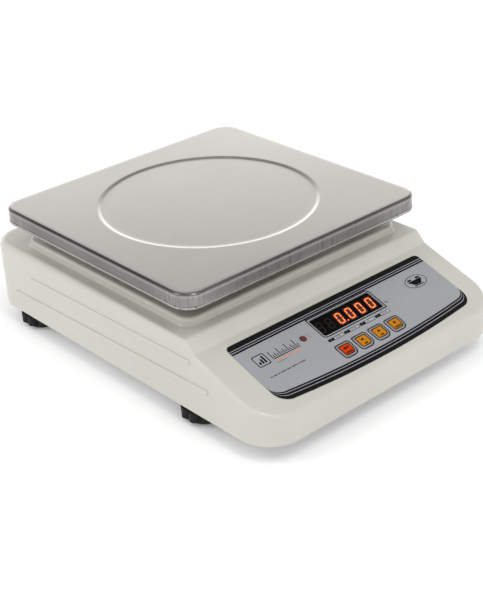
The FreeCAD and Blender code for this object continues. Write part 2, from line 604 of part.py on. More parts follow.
# ---- feet ----
THREAD_UP = 1.4
for n, fx, fy in FEET:
    z0, z1 = 3.3, BODY_BOT - 2.0
    k = cyl(fx, fy, z0, z1, KNOB_R - 2.4)
    lobes = []
    for i in range(KNOB_LOBES):
        a = 2 * math.pi * (i + 0.5) / KNOB_LOBES
        lobes.append(cyl(fx + (KNOB_R - 5.0) * math.cos(a), fy + (KNOB_R - 5.0) * math.sin(a), z0 + 1.0, z1 - 1.0, 5.0))
    k = k.cut([cyl(fx + (KNOB_R + 0.9) * math.cos(2 * math.pi * i / KNOB_LOBES), fy + (KNOB_R + 0.9) * math.sin(2 * math.pi * i / KNOB_LOBES), z0 - 1, z1 + 1, 4.2)
               for i in range(KNOB_LOBES)])
    k = k.fuse(lobes).removeSplitter()
    k = k.cut(cyl(fx, fy, z0 - 1, 8.6, 4.05))
    k = k.cut(cyl(fx, fy, 9.0, z1 + 1, STUD_R))
    out("foot_knob_" + n, k)
    st = cyl(fx, fy, 9.0, 44.0, STUD_R)
    st = st.makeChamfer(0.8, [e for e in st.Edges if abs(e.BoundBox.ZMin - 44.0) < .01 and e.BoundBox.ZLength < .01])
    out("foot_stud_" + n, st)
    p = cyl(fx, fy, 0, 3.0, 15.0)
    p = p.makeFillet(1.0, [e for e in p.Edges if e.BoundBox.ZLength < .01])
    p = p.fuse(cyl(fx, fy, 2.9, 8.3, 4.0)).removeSplitter()
    out("foot_pad_" + n, p)

# ---- panel parts ----
ov = overlay_outline(0.0, -OV_REC, OV_TOP)
ov = ov.cut(slab(WIN_X[0], WIN_X[1], WIN_V[0], WIN_V[1], 2.0, -2, 2))
for i in range(4):
    ov = ov.cut(key_shape(i, 0.3, -2, 2))
ov = ov.cut(cyl(LED_XV[0], LED_XV[1], -2, 2, 2.6))
out("panel_overlay", panel(ov))
out("display_window", panel(slab(LENS[0], LENS[1], LENS[2], LENS[3], 2.0, -OV_REC - 1.8, -OV_REC)))
for i in range(4):
    kx = KEY_X0 + i * KEY_PITCH + KEY_W / 2
    kv = (KEY_V[0] + KEY_V[1]) / 2
    cap = key_shape(i, 0.0, -1.0, 0.75)
    cap = cap.makeFillet(0.45, [e for e in cap.Edges if abs(e.BoundBox.ZMin - .75) < .01 and e.BoundBox.ZLength < .01])
    cap = cap.fuse(cyl(kx, kv, -6.6, -0.9, 2.2)).removeSplitter()
    out("key_%d" % (i + 1), panel(cap))
brd = slab(BRD_X[0], BRD_X[1], BRD_V[0], BRD_V[1], 1.5, BRD_N[0], BRD_N[1])
for dx, dv in DB:
    brd = brd.cut(cyl(dx, dv, BRD_N[0] - 1, BRD_N[1] + 1, 1.6))
out("display_board", panel(brd))
MOD_C = 3.45
mods = []
for s_ in (-1, 1):
    xc = MOD_C + s_ * 18.85
    mods.append(box(xc - 18.8, xc + 18.8, 2.3 - 9.5, 2.3 + 9.5, BRD_N[1], BRD_N[1] + 8.0))
out("digit_modules", panel(group(mods)))
sw = []
for i in range(4):
    kx = KEY_X0 + i * KEY_PITCH + KEY_W / 2
    kv = (KEY_V[0] + KEY_V[1]) / 2
    sw.append(box(kx - 3, kx + 3, kv - 3, kv + 3, BRD_N[1], BRD_N[1] + 3.4).fuse(cyl(kx, kv, BRD_N[1] + 3.3, BRD_N[1] + 4.2, 1.75)).removeSplitter())
out("tact_switches", panel(group(sw)))
STAT_X = [-30.5, -12.0, 6.5, 25.0]
out("status_leds", panel(group([box(x - 1.6, x + 1.6, -15.2, -12.4, BRD_N[1], BRD_N[1] + 2.2) for x in STAT_X])))
led = cyl(LED_XV[0], LED_XV[1], BRD_N[1] + 1.0, 0.3, 2.5).fuse([cyl(LED_XV[0], LED_XV[1], BRD_N[1], BRD_N[1] + 1.0, 2.9),
      Part.makeSphere(2.5, V(LED_XV[0], LED_XV[1], 0.3)).common(box(LED_XV[0] - 5, LED_XV[0] + 5, LED_XV[1] - 5, LED_XV[1] + 5, .2, 1.6))]).removeSplitter()
out("charge_led", panel(led))

# ---- electronics inside ----
PCB_X, PCB_Y, PCB_W, PCB_D = 84.0, 10.0, 70.0, 100.0
PCB_Z = PT + 10.0
pcb = slab(PCB_X - PCB_W / 2, PCB_X + PCB_W / 2, PCB_Y - PCB_D / 2, PCB_Y + PCB_D / 2, 1.5, PCB_Z, PCB_Z + 1.6)
PH = [(PCB_X + sx * (PCB_W / 2 - 4), PCB_Y + sy * (PCB_D / 2 - 4)) for sx in (-1, 1) for sy in (-1, 1)]
for hx, hy in PH:
    pcb = pcb.cut(cyl(hx, hy, PCB_Z - 1, PCB_Z + 3, 1.6))
out("main_board", pcb)
out("board_standoffs", group([hexagon(hx, hy, PT, PCB_Z, 5.5).cut(cyl(hx, hy, PT + 2, PCB_Z + 1, 1.5)) for hx, hy in PH]))
bs = [pan_head(hx, hy, PCB_Z + 1.6, 1, 2.8, 1.8, 1.45, 6.0) for hx, hy in PH]
for dx, dv in DB:
    bs.append(panel(pan_head(dx, dv, BRD_N[0], -1, 2.8, 1.8, 1.2, 6.0)))
out("board_screws", group(bs))
T = PCB_Z + 1.6
comp = [
    box(PCB_X - 12, PCB_X + 2, PCB_Y - 10, PCB_Y + 4, T, T + 1.6),
    box(PCB_X + 10, PCB_X + 20, PCB_Y - 22, PCB_Y - 16, T, T + 1.8),
    box(PCB_X + 10, PCB_X + 20, PCB_Y + 2, PCB_Y + 8, T, T + 1.8),
    cyl(PCB_X - 22, PCB_Y + 30, T, T + 20, 8.0),
    cyl(PCB_X - 24, PCB_Y + 10, T, T + 12, 5.0),
    cyl(PCB_X + 6, PCB_Y + 36, T, T + 11, 4.0),
    box(PCB_X + 14, PCB_X + 27, PCB_Y + 24, PCB_Y + 38, T, T + 15),
    box(PCB_X - 26, PCB_X - 6, PCB_Y - 43, PCB_Y - 36, T, T + 8),
    box(PCB_X + 2, PCB_X + 22, PCB_Y - 43, PCB_Y - 36, T, T + 8),
    box(PCB_X - 33, PCB_X - 26, PCB_Y - 26, PCB_Y - 8, T, T + 8),
]
out("board_components", group(comp))
# 6 V 4.5 Ah sealed battery: 70 x 47 x 101, on its long side
bz0 = PT + 0.2
bat = slab(BATT_X - 23.5, BATT_X + 23.5, BATT_Y - 50.5, BATT_Y + 50.5, 1.5, bz0, bz0 + 60.0)
bat = bat.cut(box(BATT_X - 24, BATT_X + 24, BATT_Y - 51, BATT_Y - 44, bz0 + 50, bz0 + 61))
bat = bat.fuse([box(BATT_X - 16, BATT_X - 11, BATT_Y - 48.5, BATT_Y - 47.7, bz0 + 49.5, bz0 + 57), box(BATT_X + 11, BATT_X + 16, BATT_Y - 48.5, BATT_Y - 47.7, bz0 + 49.5, bz0 + 57)])
out("battery", bat.removeSplitter())
bt = 1.5
br = fuse([
    box(BATT_X - 37, BATT_X - 23.7, BATT_Y - 10, BATT_Y + 10, PT, PT + bt),
    box(BATT_X - 25.2, BATT_X - 23.7, BATT_Y - 10, BATT_Y + 10, PT, bz0 + 60.2 + bt),
    box(BATT_X - 25.2, BATT_X + 25.2, BATT_Y - 10, BATT_Y + 10, bz0 + 60.2, bz0 + 60.2 + bt),
    box(BATT_X + 23.7, BATT_X + 25.2, BATT_Y - 10, BATT_Y + 10, PT, bz0 + 60.2 + bt),
    box(BATT_X + 23.7, BATT_X + 37, BATT_Y - 10, BATT_Y + 10, PT, PT + bt)])
for sx_, sy_ in BATT_SCREWS:
    br = br.cut(cyl(sx_, sy_, PT - 1, PT + 5, 2.1))
out("battery_bracket", br)
# mains transformer: laminated core with its frame, winding on a bobbin
core = box(TR_X - 24, TR_X + 24, TR_Y - 14, TR_Y + 14, PT + 1.6, PT + 41.6)
core = core.cut([box(TR_X - 16, TR_X - 8, TR_Y - 15, TR_Y + 15, PT + 9.6, PT + 33.6), box(TR_X + 8, TR_X + 16, TR_Y - 15, TR_Y + 15, PT + 9.6, PT + 33.6)])
out("transformer_core", core)
wind = slab(TR_X - 15.8, TR_X + 15.8, TR_Y - 22, TR_Y + 22, 4.0, PT + 10.0, PT + 33.2).cut(
    box(TR_X - 8.1, TR_X + 8.1, TR_Y - 14.1, TR_Y + 14.1, PT + 5, PT + 40))
out("transformer_winding", wind)
tf = fuse([
    box(TR_X - 38, TR_X - 24.1, TR_Y - 12, TR_Y + 12, PT, PT + 1.5),
    box(TR_X - 25.5, TR_X - 24.1, TR_Y - 12, TR_Y + 12, PT, PT + 43.2),
    box(TR_X - 25.5, TR_X + 25.5, TR_Y - 12, TR_Y + 12, PT + 41.7, PT + 43.2),
    box(TR_X + 24.1, TR_X + 25.5, TR_Y - 12, TR_Y + 12, PT, PT + 43.2),
    box(TR_X + 24.1, TR_X + 38, TR_Y - 12, TR_Y + 12, PT, PT + 1.5)])
for sx_, sy_ in TR_SCREWS:
    tf = tf.cut(cyl(sx_, sy_, PT - 1, PT + 5, 2.1))
out("transformer_frame", tf)

# ---- rear wall fittings ----
YR = Y1
fl = Part.Face(rounded_wire(INLET_X - 25, INLET_X + 25, REAR_Z - 12, REAR_Z + 12, (4, 4, 4, 4), 0)).extrude(V(0, 0, 2.5))
fl.rotate(V(0, 0, 0), V(1, 0, 0), 90)          # (x, y, z) -> (x, -z, y)
fl.translate(V(0, YR + 2.5, 0))
inl = fl.fuse(box(INLET_X - 14, INLET_X + 14, YR - 18, YR + .1, REAR_Z - 10.2, REAR_Z + 10.2))
INS = (12.3, 8.2)       # half width and half height of the cavity
inl = inl.cut(box(INLET_X - INS[0], INLET_X + INS[0], YR - 15.5, YR + 4, REAR_Z - INS[1], REAR_Z + INS[1]))
for sx in (-1, 1):
    inl = inl.cut(cyl_y(INLET_X + sx * 20, REAR_Z, YR - 2, YR + 4, 1.7))
pins = [box(INLET_X + dx - 2.0, INLET_X + dx + 2.0, YR - 24, YR - 4.0, REAR_Z + dz - 1.0, REAR_Z + dz + 1.0) for dx, dz in ((-7, -2), (0, 2), (7, -2))]
out("mains_inlet", inl.cut(pins).removeSplitter())
out("inlet_pins", group(pins))
isc = []
for sx in (-1, 1):
    s = pan_head(INLET_X + sx * 20, 0, 0, 1, 2.9, 1.8, 1.5, 8.0)
    s.rotate(V(INLET_X + sx * 20, 0, 0), V(1, 0, 0), -90)
    s.translate(V(0, YR + 2.5, REAR_Z))
    isc.append(s)
out("inlet_screws", group(isc))
fh = cyl_y(FUSE_X, REAR_Z, YR - 26, YR + .1, 6.0).fuse([cyl_y(FUSE_X, REAR_Z, YR, YR + 2.2, 8.5), cyl_y(FUSE_X, REAR_Z, YR + 2.1, YR + FUSE_OUT, 6.2)])
fh = fh.cut(box(FUSE_X - 4.5, FUSE_X + 4.5, YR + FUSE_OUT - 1.2, YR + 8, REAR_Z - .7, REAR_Z + .7))
out("fuse_holder", fh.removeSplitter())
# rocker switch: bezel housing with an open mouth, and the rocker on its own pivot
hs = box(SW_X - 9.5, SW_X + 9.5, YR - 17, YR + .1, REAR_Z - 6.5, REAR_Z + 6.5)
bez = Part.Face(rounded_wire(SW_X - 11.5, SW_X + 11.5, REAR_Z - 8.0, REAR_Z + 8.0, (1.5,) * 4, 0)).extrude(V(0, 0, 2.0))
bez.rotate(V(0, 0, 0), V(1, 0, 0), 90)
bez.translate(V(0, YR + 2.0, 0))
hs = hs.fuse(bez)
hs = hs.cut(box(SW_X - 8.4, SW_X + 8.4, YR - 9.5, YR + 4, REAR_Z - 5.4, REAR_Z + 5.4))
out("switch_housing", hs.removeSplitter())
# rocker: turns about a vertical axis through its middle
RK_Y = YR - 1.0
rk = cyl(SW_X, RK_Y, REAR_Z - 5.0, REAR_Z + 5.0, 7.6)
rk = rk.common(box(SW_X - 8, SW_X + 8, RK_Y - 2.5, RK_Y + 9, REAR_Z - 6, REAR_Z + 6))
vee = Part.Face(Part.makePolygon([V(SW_X - 12, RK_Y + 6.6, REAR_Z - 6), V(SW_X, RK_Y + 3.6, REAR_Z - 6), V(SW_X + 12, RK_Y + 6.6, REAR_Z - 6), V(SW_X + 12, RK_Y + 20, REAR_Z - 6), V(SW_X - 12, RK_Y + 20, REAR_Z - 6), V(SW_X - 12, RK_Y + 6.6, REAR_Z - 6)])).extrude(V(0, 0, 12))
rk = rk.cut(vee)
rk.rotate(V(SW_X, RK_Y, 0), V(0, 0, 1), 9.0)
out("switch_rocker", rk.removeSplitter())


# ---- internal wiring: straight runs joined by tangent arcs ----
def wire_path(pts, f=0.45):
    P = [V(*p) for p in pts]
    e = []
    prev = P[0]
    for i in range(1, len(P) - 1):
        a, b, c = P[i - 1], P[i], P[i + 1]
        ua = a.sub(b).normalize()
        ub = c.sub(b).normalize()
        run = min(a.sub(b).Length, c.sub(b).Length)
        d = f * run
        ang = math.acos(max(-1, min(1, ua.dot(ub))))
        r = d * math.tan(ang / 2)
        t1 = b.add(V(ua).multiply(d))
        t2 = b.add(V(ub).multiply(d))
        bis = ua.add(ub).normalize()
        ctr = b.add(V(bis).multiply(r / math.sin(ang / 2)))
        m = b.sub(ctr).normalize().multiply(r).add(ctr)
        e.append(Part.LineSegment(prev, t1).toShape())
        e.append(Part.Arc(t1, m, t2).toShape())
        prev = t2
    e.append(Part.LineSegment(prev, P[-1]).toShape())
    return Part.Wire(e)


def tube(pts, r):
    w = wire_path(pts)
    first = w.Edges[0]
    t = first.tangentAt(first.FirstParameter)
    circle = Part.Wire([Part.Circle(V(*pts[0]), t, r).toShape()])
    s = w.makePipeShell([circle], True, True)
    ratio = s.Volume / (math.pi * r * r * w.Length)
    print("   tube length %.0f mm, volume ratio %.3f" % (w.Length, ratio))
    return s


# load cell cable: from the cell's side to the board's connector
cable = tube([(15.2, PAN_Y + 8, CELL_Z + 4), (26, PAN_Y + 8, CELL_Z + 4), (36, PAN_Y - 6, CELL_Z - 2), (46, PAN_Y - 26, CELL_Z - 6),
              (PCB_X - 29.5, PCB_Y - 17, T + 16), (PCB_X - 29.5, PCB_Y - 17, T + 8.1)], 2.0)
out("load_cell_cable", cable)
rib_ = tube([(PCB_X - 16, PCB_Y - 40, T + 9.2), (PCB_X - 16, PCB_Y - 44, T + 18), (PCB_X - 26, PCB_Y - 62, T + 14), (PCB_X - 38, -84, 44), (44, -110, 40), (40, -128, 46)], 2.2)
out("display_cable", rib_)
mains = tube([(INLET_X + 7, YR - 24.8, REAR_Z - 2), (INLET_X + 8, YR - 34, REAR_Z - 4), (INLET_X + 26, YR - 42, REAR_Z - 8), (-10, YR - 42, 36),
              (24, YR - 44, 34), (46, YR - 52, 36), (TR_X - 20, TR_Y + 27, 40), (TR_X - 8, TR_Y + 24.6, 40)], 2.0)
out("mains_leads", mains)
print(len(NODES), "nodes")
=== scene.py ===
import json
import math
import random

import bmesh
import bpy
from mathutils import Matrix, Vector


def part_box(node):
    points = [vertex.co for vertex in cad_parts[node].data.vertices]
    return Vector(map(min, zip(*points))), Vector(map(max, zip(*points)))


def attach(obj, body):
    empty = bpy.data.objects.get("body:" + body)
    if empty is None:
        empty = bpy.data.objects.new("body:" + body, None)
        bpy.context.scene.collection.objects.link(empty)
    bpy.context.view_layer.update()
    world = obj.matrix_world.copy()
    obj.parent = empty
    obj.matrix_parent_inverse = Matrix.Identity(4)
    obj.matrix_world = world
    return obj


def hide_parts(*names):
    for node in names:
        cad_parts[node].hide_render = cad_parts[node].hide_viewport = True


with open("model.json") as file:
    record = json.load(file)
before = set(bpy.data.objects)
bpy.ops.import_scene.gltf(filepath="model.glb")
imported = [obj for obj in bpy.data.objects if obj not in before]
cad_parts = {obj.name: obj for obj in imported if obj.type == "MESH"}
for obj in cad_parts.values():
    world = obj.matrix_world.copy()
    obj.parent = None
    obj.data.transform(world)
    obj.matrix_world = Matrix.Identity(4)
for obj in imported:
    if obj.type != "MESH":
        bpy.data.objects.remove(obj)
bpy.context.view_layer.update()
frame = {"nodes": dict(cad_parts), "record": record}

nodes = frame["nodes"]
MM = 0.001
scene = bpy.context.scene

# ---------------------------------------------------------------- positions
plo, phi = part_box("weighing_pan")
PAN_CX, PAN_CY, PAN_TOP = (plo.x + phi.x) / 2, (plo.y + phi.y) / 2, phi.z
PAN_W, PAN_D = (phi.x - plo.x), (phi.y - plo.y)
key_axis = None
for j in frame["record"]["behaviour"]["joints"]:
    if j["name"] == "key_1_press":
        key_axis = Vector(j["axis"])
UN = key_axis.normalized()                        # outward normal of the sloping panel
UV = UN.cross(Vector((1, 0, 0))).normalized()     # up the slope
SLOPE = math.atan2(UV.z, UV.y)
ov = [v.co for v in nodes["panel_overlay"].data.vertices]
top_n = max(p.dot(UN) for p in ov)
top_v = max(p.dot(UV) for p in ov)
O = UV * (top_v - 0.0264) + UN * (top_n - 0.0003)  # a point of the panel plane, on x = 0
PANEL_M = Matrix.Translation(O) @ Matrix.Rotation(SLOPE, 4, "X") @ Matrix.Scale(MM, 4)


# ---------------------------------------------------------------- material helpers
def new_mat(name):
    m = bpy.data.materials.new(name)
    m.use_nodes = True
    nt = m.node_tree
    for n in list(nt.nodes):
        nt.nodes.remove(n)
    out = nt.nodes.new("ShaderNodeOutputMaterial")
    b = nt.nodes.new("ShaderNodeBsdfPrincipled")
    nt.links.new(b.outputs[0], out.inputs[0])
    return m, nt, b


def coords(nt, scale=(1, 1, 1), rot=(0, 0, 0)):
    tc = nt.nodes.new("ShaderNodeTexCoord")
    mp = nt.nodes.new("ShaderNodeMapping")
    mp.inputs["Scale"].default_value = scale
    mp.inputs["Rotation"].default_value = rot
    nt.links.new(tc.outputs["Object"], mp.inputs["Vector"])
    return mp.outputs["Vector"]


def noise(nt, vec, scale, detail=2.0, rough=0.5, dist=0.0):
    n = nt.nodes.new("ShaderNodeTexNoise")
    n.inputs["Scale"].default_value = scale
    n.inputs["Detail"].default_value = detail
    n.inputs["Roughness"].default_value = rough
    n.inputs["Distortion"].default_value = dist
    nt.links.new(vec, n.inputs["Vector"])
    return n.outputs["Fac"]


def remap(nt, fac, a, b, c, d, clamp=True):
    n = nt.nodes.new("ShaderNodeMapRange")
    n.clamp = clamp
    n.inputs["From Min"].default_value = a
    n.inputs["From Max"].default_value = b
    n.inputs["To Min"].default_value = c
    n.inputs["To Max"].default_value = d
    nt.links.new(fac, n.inputs["Value"])
    return n.outputs["Result"]


def mix(nt, fac, c1, c2, mode="MIX"):
    n = nt.nodes.new("ShaderNodeMix")
    n.data_type = "RGBA"
    n.blend_type = mode
    if isinstance(fac, (int, float)):
        n.inputs[0].default_value = fac
    else:
        nt.links.new(fac, n.inputs[0])
    for sock, c in ((n.inputs[6], c1), (n.inputs[7], c2)):
        if isinstance(c, (tuple, list)):
            sock.default_value = (*c[:3], 1)
        else:
            nt.links.new(c, sock)
    return n.outputs[2]


def bump(nt, height, strength, distance, normal=None):
    n = nt.nodes.new("ShaderNodeBump")
    n.inputs["Strength"].default_value = strength
    n.inputs["Distance"].default_value = distance
    nt.links.new(height, n.inputs["Height"])
    if normal is not None:
        nt.links.new(normal, n.inputs["Normal"])
    return n.outputs["Normal"]


def math_node(nt, op, a, b=0.0):
    n = nt.nodes.new("ShaderNodeMath")
    n.operation = op
    for s, v in ((n.inputs[0], a), (n.inputs[1], b)):
        if isinstance(v, (int, float)):
            s.default_value = v
        else:
            nt.links.new(v, s)
    return n.outputs[0]


def link(nt, a, b):
    nt.links.new(a, b)


# ---------------------------------------------------------------- materials
def ivory():
    m, nt, b = new_mat("housing_ivory")
    v = coords(nt)
    big = noise(nt, v, 9.0, 3.0)
    col = mix(nt, remap(nt, big, 0.35, 0.65, 0, 1), (0.552, 0.541, 0.480), (0.574, 0.563, 0.502))
    # fine specks in the paint
    vo = nt.nodes.new("ShaderNodeTexVoronoi")
    vo.inputs["Scale"].default_value = 70.0
    vo.inputs["Randomness"].default_value = 1.0
    link(nt, v, vo.inputs["Vector"])
    speck = remap(nt, vo.outputs["Distance"], 0.020, 0.034, 1, 0)
    col = mix(nt, math_node(nt, "MULTIPLY", speck, 0.75), col, (0.20, 0.17, 0.13))
    link(nt, col, b.inputs["Base Color"])
    r = noise(nt, v, 160.0, 2.0)
    link(nt, remap(nt, r, 0.3, 0.7, 0.30, 0.40), b.inputs["Roughness"])
    peel = noise(nt, v, 520.0, 1.5, 0.45)
    slow = noise(nt, v, 60.0, 1.0)
    nrm = bump(nt, peel, 0.30, 0.00020)
    nrm = bump(nt, slow, 0.10, 0.0006, nrm)
    link(nt, nrm, b.inputs["Normal"])
    b.inputs["Specular IOR Level"].default_value = 0.42
    b.inputs["Coat Weight"].default_value = 0.45
    b.inputs["Coat Roughness"].default_value = 0.14
    return m


def stainless(name, base_a, base_b, rough, stretch, freq, streak=0.0, bump_s=0.12):
    """brushed sheet: fine lines along one direction over slow variation."""
    m, nt, b = new_mat(name)
    v = coords(nt, stretch)
    fine = noise(nt, v, freq, 3.0, 0.7)
    mid = noise(nt, v, freq * 0.22, 2.0, 0.6)
    w = coords(nt)
    slow = noise(nt, w, 7.0, 2.0, 0.5)
    f = math_node(nt, "ADD", math_node(nt, "MULTIPLY", fine, 0.6), math_node(nt, "MULTIPLY", mid, 0.4))
    col = mix(nt, remap(nt, f, 0.36, 0.64, 0, 1), base_a, base_b)
    if streak:
        s = noise(nt, v, freq * 0.55, 4.0, 0.75, 0.2)
        dark = remap(nt, s, 0.60, 0.74, 0, streak)
        col = mix(nt, dark, col, tuple(c * 0.35 for c in base_a))
    link(nt, col, b.inputs["Base Color"])
    b.inputs["Metallic"].default_value = 1.0
    rr = math_node(nt, "ADD", remap(nt, f, 0.3, 0.7, rough - 0.05, rough + 0.05), remap(nt, slow, 0.3, 0.7, -0.03, 0.05))
    link(nt, rr, b.inputs["Roughness"])
    link(nt, bump(nt, f, bump_s, 0.00006), b.inputs["Normal"])
    return m


def plain(name, a, bcol, rough=0.5, metallic=0.0, nscale=120.0, bump_s=0.12, bump_d=0.0002, spec=0.5, coat=0.0, detail=2.0):
    m, nt, b = new_mat(name)
    v = coords(nt)
    n = noise(nt, v, nscale, detail)
    link(nt, mix(nt, remap(nt, n, 0.3, 0.7, 0, 1), a, bcol), b.inputs["Base Color"])
    link(nt, remap(nt, noise(nt, v, nscale * 0.5, 1.0), 0.3, 0.7, max(0.02, rough - 0.06), min(1, rough + 0.06)), b.inputs["Roughness"])
    b.inputs["Metallic"].default_value = metallic
    b.inputs["Specular IOR Level"].default_value = spec
    b.inputs["Coat Weight"].default_value = coat
    if bump_s:
        link(nt, bump(nt, noise(nt, v, nscale * 3.0, 2.0), bump_s, bump_d), b.inputs["Normal"])
    return m


def glow(name, colour, strength, base=(0.05, 0.01, 0.005)):
    m, nt, b = new_mat(name)
    v = coords(nt)
    n = noise(nt, v, 900.0, 1.0)
    link(nt, mix(nt, remap(nt, n, 0.3, 0.7, 0, 1), tuple(c * 0.93 for c in colour), colour), b.inputs["Emission Color"])
    b.inputs["Base Color"].default_value = (*base, 1)
    b.inputs["Emission Strength"].default_value = strength
    b.inputs["Roughness"].default_value = 0.5
    return m


M = {}
M["ivory"] = ivory()
M["pan_top"] = stainless("pan_brushed", (0.500, 0.482, 0.455), (0.540, 0.522, 0.494), 0.215, (0.035, 1.0, 1.0), 2200.0, bump_s=0.03)


def skirt_mat():
    """drawn skirt: satin steel whose dark base colour is a painted dark reflection. It has upright draw marks and
    painted dark reflection streaks that gather towards the corners and along the front, and a painted chrome highlight
    at the corners.
    """
    m, nt, b = new_mat("pan_skirt_drawn_painted_reflection")
    w = coords(nt)
    sep = nt.nodes.new("ShaderNodeSeparateXYZ")
    link(nt, w, sep.inputs[0])
    X, Y, Z = sep.outputs
    ax = math_node(nt, "ABSOLUTE", X)
    ay = math_node(nt, "ABSOLUTE", math_node(nt, "SUBTRACT", Y, PAN_CY))
    ex = math_node(nt, "SUBTRACT", PAN_W / 2, ax)
    ey = math_node(nt, "SUBTRACT", PAN_D / 2, ay)
    away = math_node(nt, "MAXIMUM", ex, ey)                       # distance along the edge from the nearest corner
    corner = remap(nt, away, 0.012, 0.060, 1.0, 0.0)
    front = remap(nt, ey, 0.004, 0.016, 1.0, 0.0)
    v = coords(nt, (1.0, 1.0, 0.045))
    f1 = noise(nt, v, 1150.0, 3.0, 0.7)
    f2 = noise(nt, v, 420.0, 4.0, 0.75, 0.2)
    slow = noise(nt, w, 16.0, 2.0)
    # dark base colour: painted dark reflection of the surroundings, with a slow random variation
    col = mix(nt, remap(nt, slow, 0.3, 0.7, 0, 1), (0.150, 0.140, 0.132), (0.190, 0.179, 0.170))
    # painted chrome highlight: lighter along the fine draw lines towards the corners
    col = mix(nt, math_node(nt, "MULTIPLY", remap(nt, f1, 0.36, 0.66, 0, 1), math_node(nt, "ADD", math_node(nt, "MULTIPLY", corner, 0.50), 0.06)), col, (0.52, 0.51, 0.50))
    # upright draw marks, also darkened as painted dark reflection streaks along the front and at the corners
    mid_front = math_node(nt, "MULTIPLY", front, remap(nt, away, 0.05, 0.10, 0.25, 0.9))
    marks = math_node(nt, "MULTIPLY", remap(nt, f2, 0.53, 0.66, 0, 1), math_node(nt, "MAXIMUM", mid_front, math_node(nt, "MULTIPLY", corner, 0.55)))
    col = mix(nt, math_node(nt, "MULTIPLY", marks, 0.8), col, (0.055, 0.052, 0.050))
    # painted reflection under the top edge: a dark line with a lighter line below it; a painted highlight on the hem's
    # roll; a few pits near the corners
    zt = math_node(nt, "SUBTRACT", PAN_TOP, Z)
    calm = math_node(nt, "SUBTRACT", 1.0, math_node(nt, "MAXIMUM", math_node(nt, "MULTIPLY", corner, 0.35), math_node(nt, "MULTIPLY", front, 0.42)))
    painted_dark_edge_line = math_node(nt, "MULTIPLY", remap(nt, zt, 0.00005, 0.0003, 0, 1), remap(nt, zt, 0.0012, 0.0019, 1, 0))
    painted_light_edge_line = math_node(nt, "MULTIPLY", remap(nt, zt, 0.0019, 0.0025, 0, 1), remap(nt, zt, 0.0034, 0.0050, 1, 0))
    col = mix(nt, math_node(nt, "MULTIPLY", painted_light_edge_line, 0.30), col, (0.50, 0.485, 0.47))
    col = mix(nt, math_node(nt, "MULTIPLY", math_node(nt, "MULTIPLY", painted_dark_edge_line, 0.80), calm), col, (0.035, 0.032, 0.030))
    # painted highlight along the hem's roll
    hemz = math_node(nt, "SUBTRACT", Z, PAN_TOP - 0.015)
    hem = math_node(nt, "MULTIPLY", remap(nt, hemz, 0.0006, 0.0012, 0, 1), remap(nt, hemz, 0.0020, 0.0028, 1, 0))
    col = mix(nt, math_node(nt, "MULTIPLY", hem, 0.40), col, (0.62, 0.61, 0.60))
    pits = remap(nt, noise(nt, w, 330.0, 0.0), 0.70, 0.76, 0, 1)
    low = remap(nt, hemz, 0.0025, 0.0045, 1, 0)
    col = mix(nt, math_node(nt, "MULTIPLY", math_node(nt, "MULTIPLY", pits, low), math_node(nt, "MULTIPLY", corner, 0.85)), col, (0.03, 0.03, 0.03))
    link(nt, col, b.inputs["Base Color"])
    b.inputs["Metallic"].default_value = 1.0
    link(nt, math_node(nt, "ADD", remap(nt, f1, 0.3, 0.7, 0.20, 0.30), math_node(nt, "MULTIPLY", corner, -0.08)), b.inputs["Roughness"])
    link(nt, bump(nt, f1, 0.22, 0.00006), b.inputs["Normal"])
    return m


M["pan_skirt"] = skirt_mat()
M["steel"] = stainless("zinc_plate", (0.55, 0.56, 0.57), (0.66, 0.66, 0.65), 0.36, (1.0, 1.0, 1.0), 60.0, bump_s=0.1)
M["fast"] = plain("bright_fastener", (0.62, 0.62, 0.63), (0.72, 0.72, 0.72), 0.24, 1.0, 300.0, 0.08)
M["cell"] = stainless("machined_aluminium", (0.70, 0.705, 0.715), (0.80, 0.80, 0.81), 0.33, (1.0, 0.05, 1.0), 900.0)
M["cast"] = plain("cast_spider_grey", (0.20, 0.205, 0.21), (0.28, 0.285, 0.29), 0.55, 0.6, 260.0, 0.5, 0.0004)
M["rubber"] = plain("black_rubber", (0.014, 0.014, 0.015), (0.028, 0.028, 0.029), 0.75, 0.0, 300.0, 0.3, 0.0002, 0.3)
M["knob"] = plain("knob_black", (0.006, 0.006, 0.0065), (0.012, 0.012, 0.0125), 0.55, 0.0, 240.0, 0.25, 0.0002, 0.22)
M["black_plastic"] = plain("moulded_black", (0.012, 0.012, 0.013), (0.026, 0.026, 0.028), 0.38, 0.0, 400.0, 0.25, 0.00015, 0.5)
M["board"] = plain("solder_resist", (0.012, 0.10, 0.045), (0.02, 0.14, 0.06), 0.35, 0.0, 90.0, 0.1)
M["component"] = plain("moulded_component", (0.015, 0.015, 0.016), (0.035, 0.035, 0.036), 0.5, 0.0, 500.0, 0.2)
M["battery"] = plain("battery_case", (0.03, 0.03, 0.033), (0.05, 0.05, 0.055), 0.45, 0.0, 200.0, 0.25)
M["core"] = plain("varnished_core", (0.10, 0.10, 0.105), (0.16, 0.16, 0.165), 0.4, 0.7, 700.0, 0.4)
M["tape"] = plain("winding_tape", (0.50, 0.33, 0.03), (0.60, 0.42, 0.05), 0.35, 0.0, 150.0, 0.2)
M["cable"] = plain("cable_jacket", (0.035, 0.035, 0.037), (0.055, 0.055, 0.058), 0.5, 0.0, 300.0, 0.2)
M["ink_black"] = plain("ink_black", (0.0070, 0.0070, 0.0072), (0.012, 0.012, 0.0125), 0.5, 0.0, 500.0, 0.08, 0.0001, 0.12)
M["ink_grey"] = plain("ink_dark_grey", (0.055, 0.060, 0.062), (0.075, 0.080, 0.082), 0.5, 0.0, 500.0, 0.08, 0.0001, 0.2)
M["ink_light"] = plain("ink_light", (0.40, 0.41, 0.43), (0.46, 0.47, 0.49), 0.45, 0.0, 500.0, 0.08, 0.0001, 0.35)
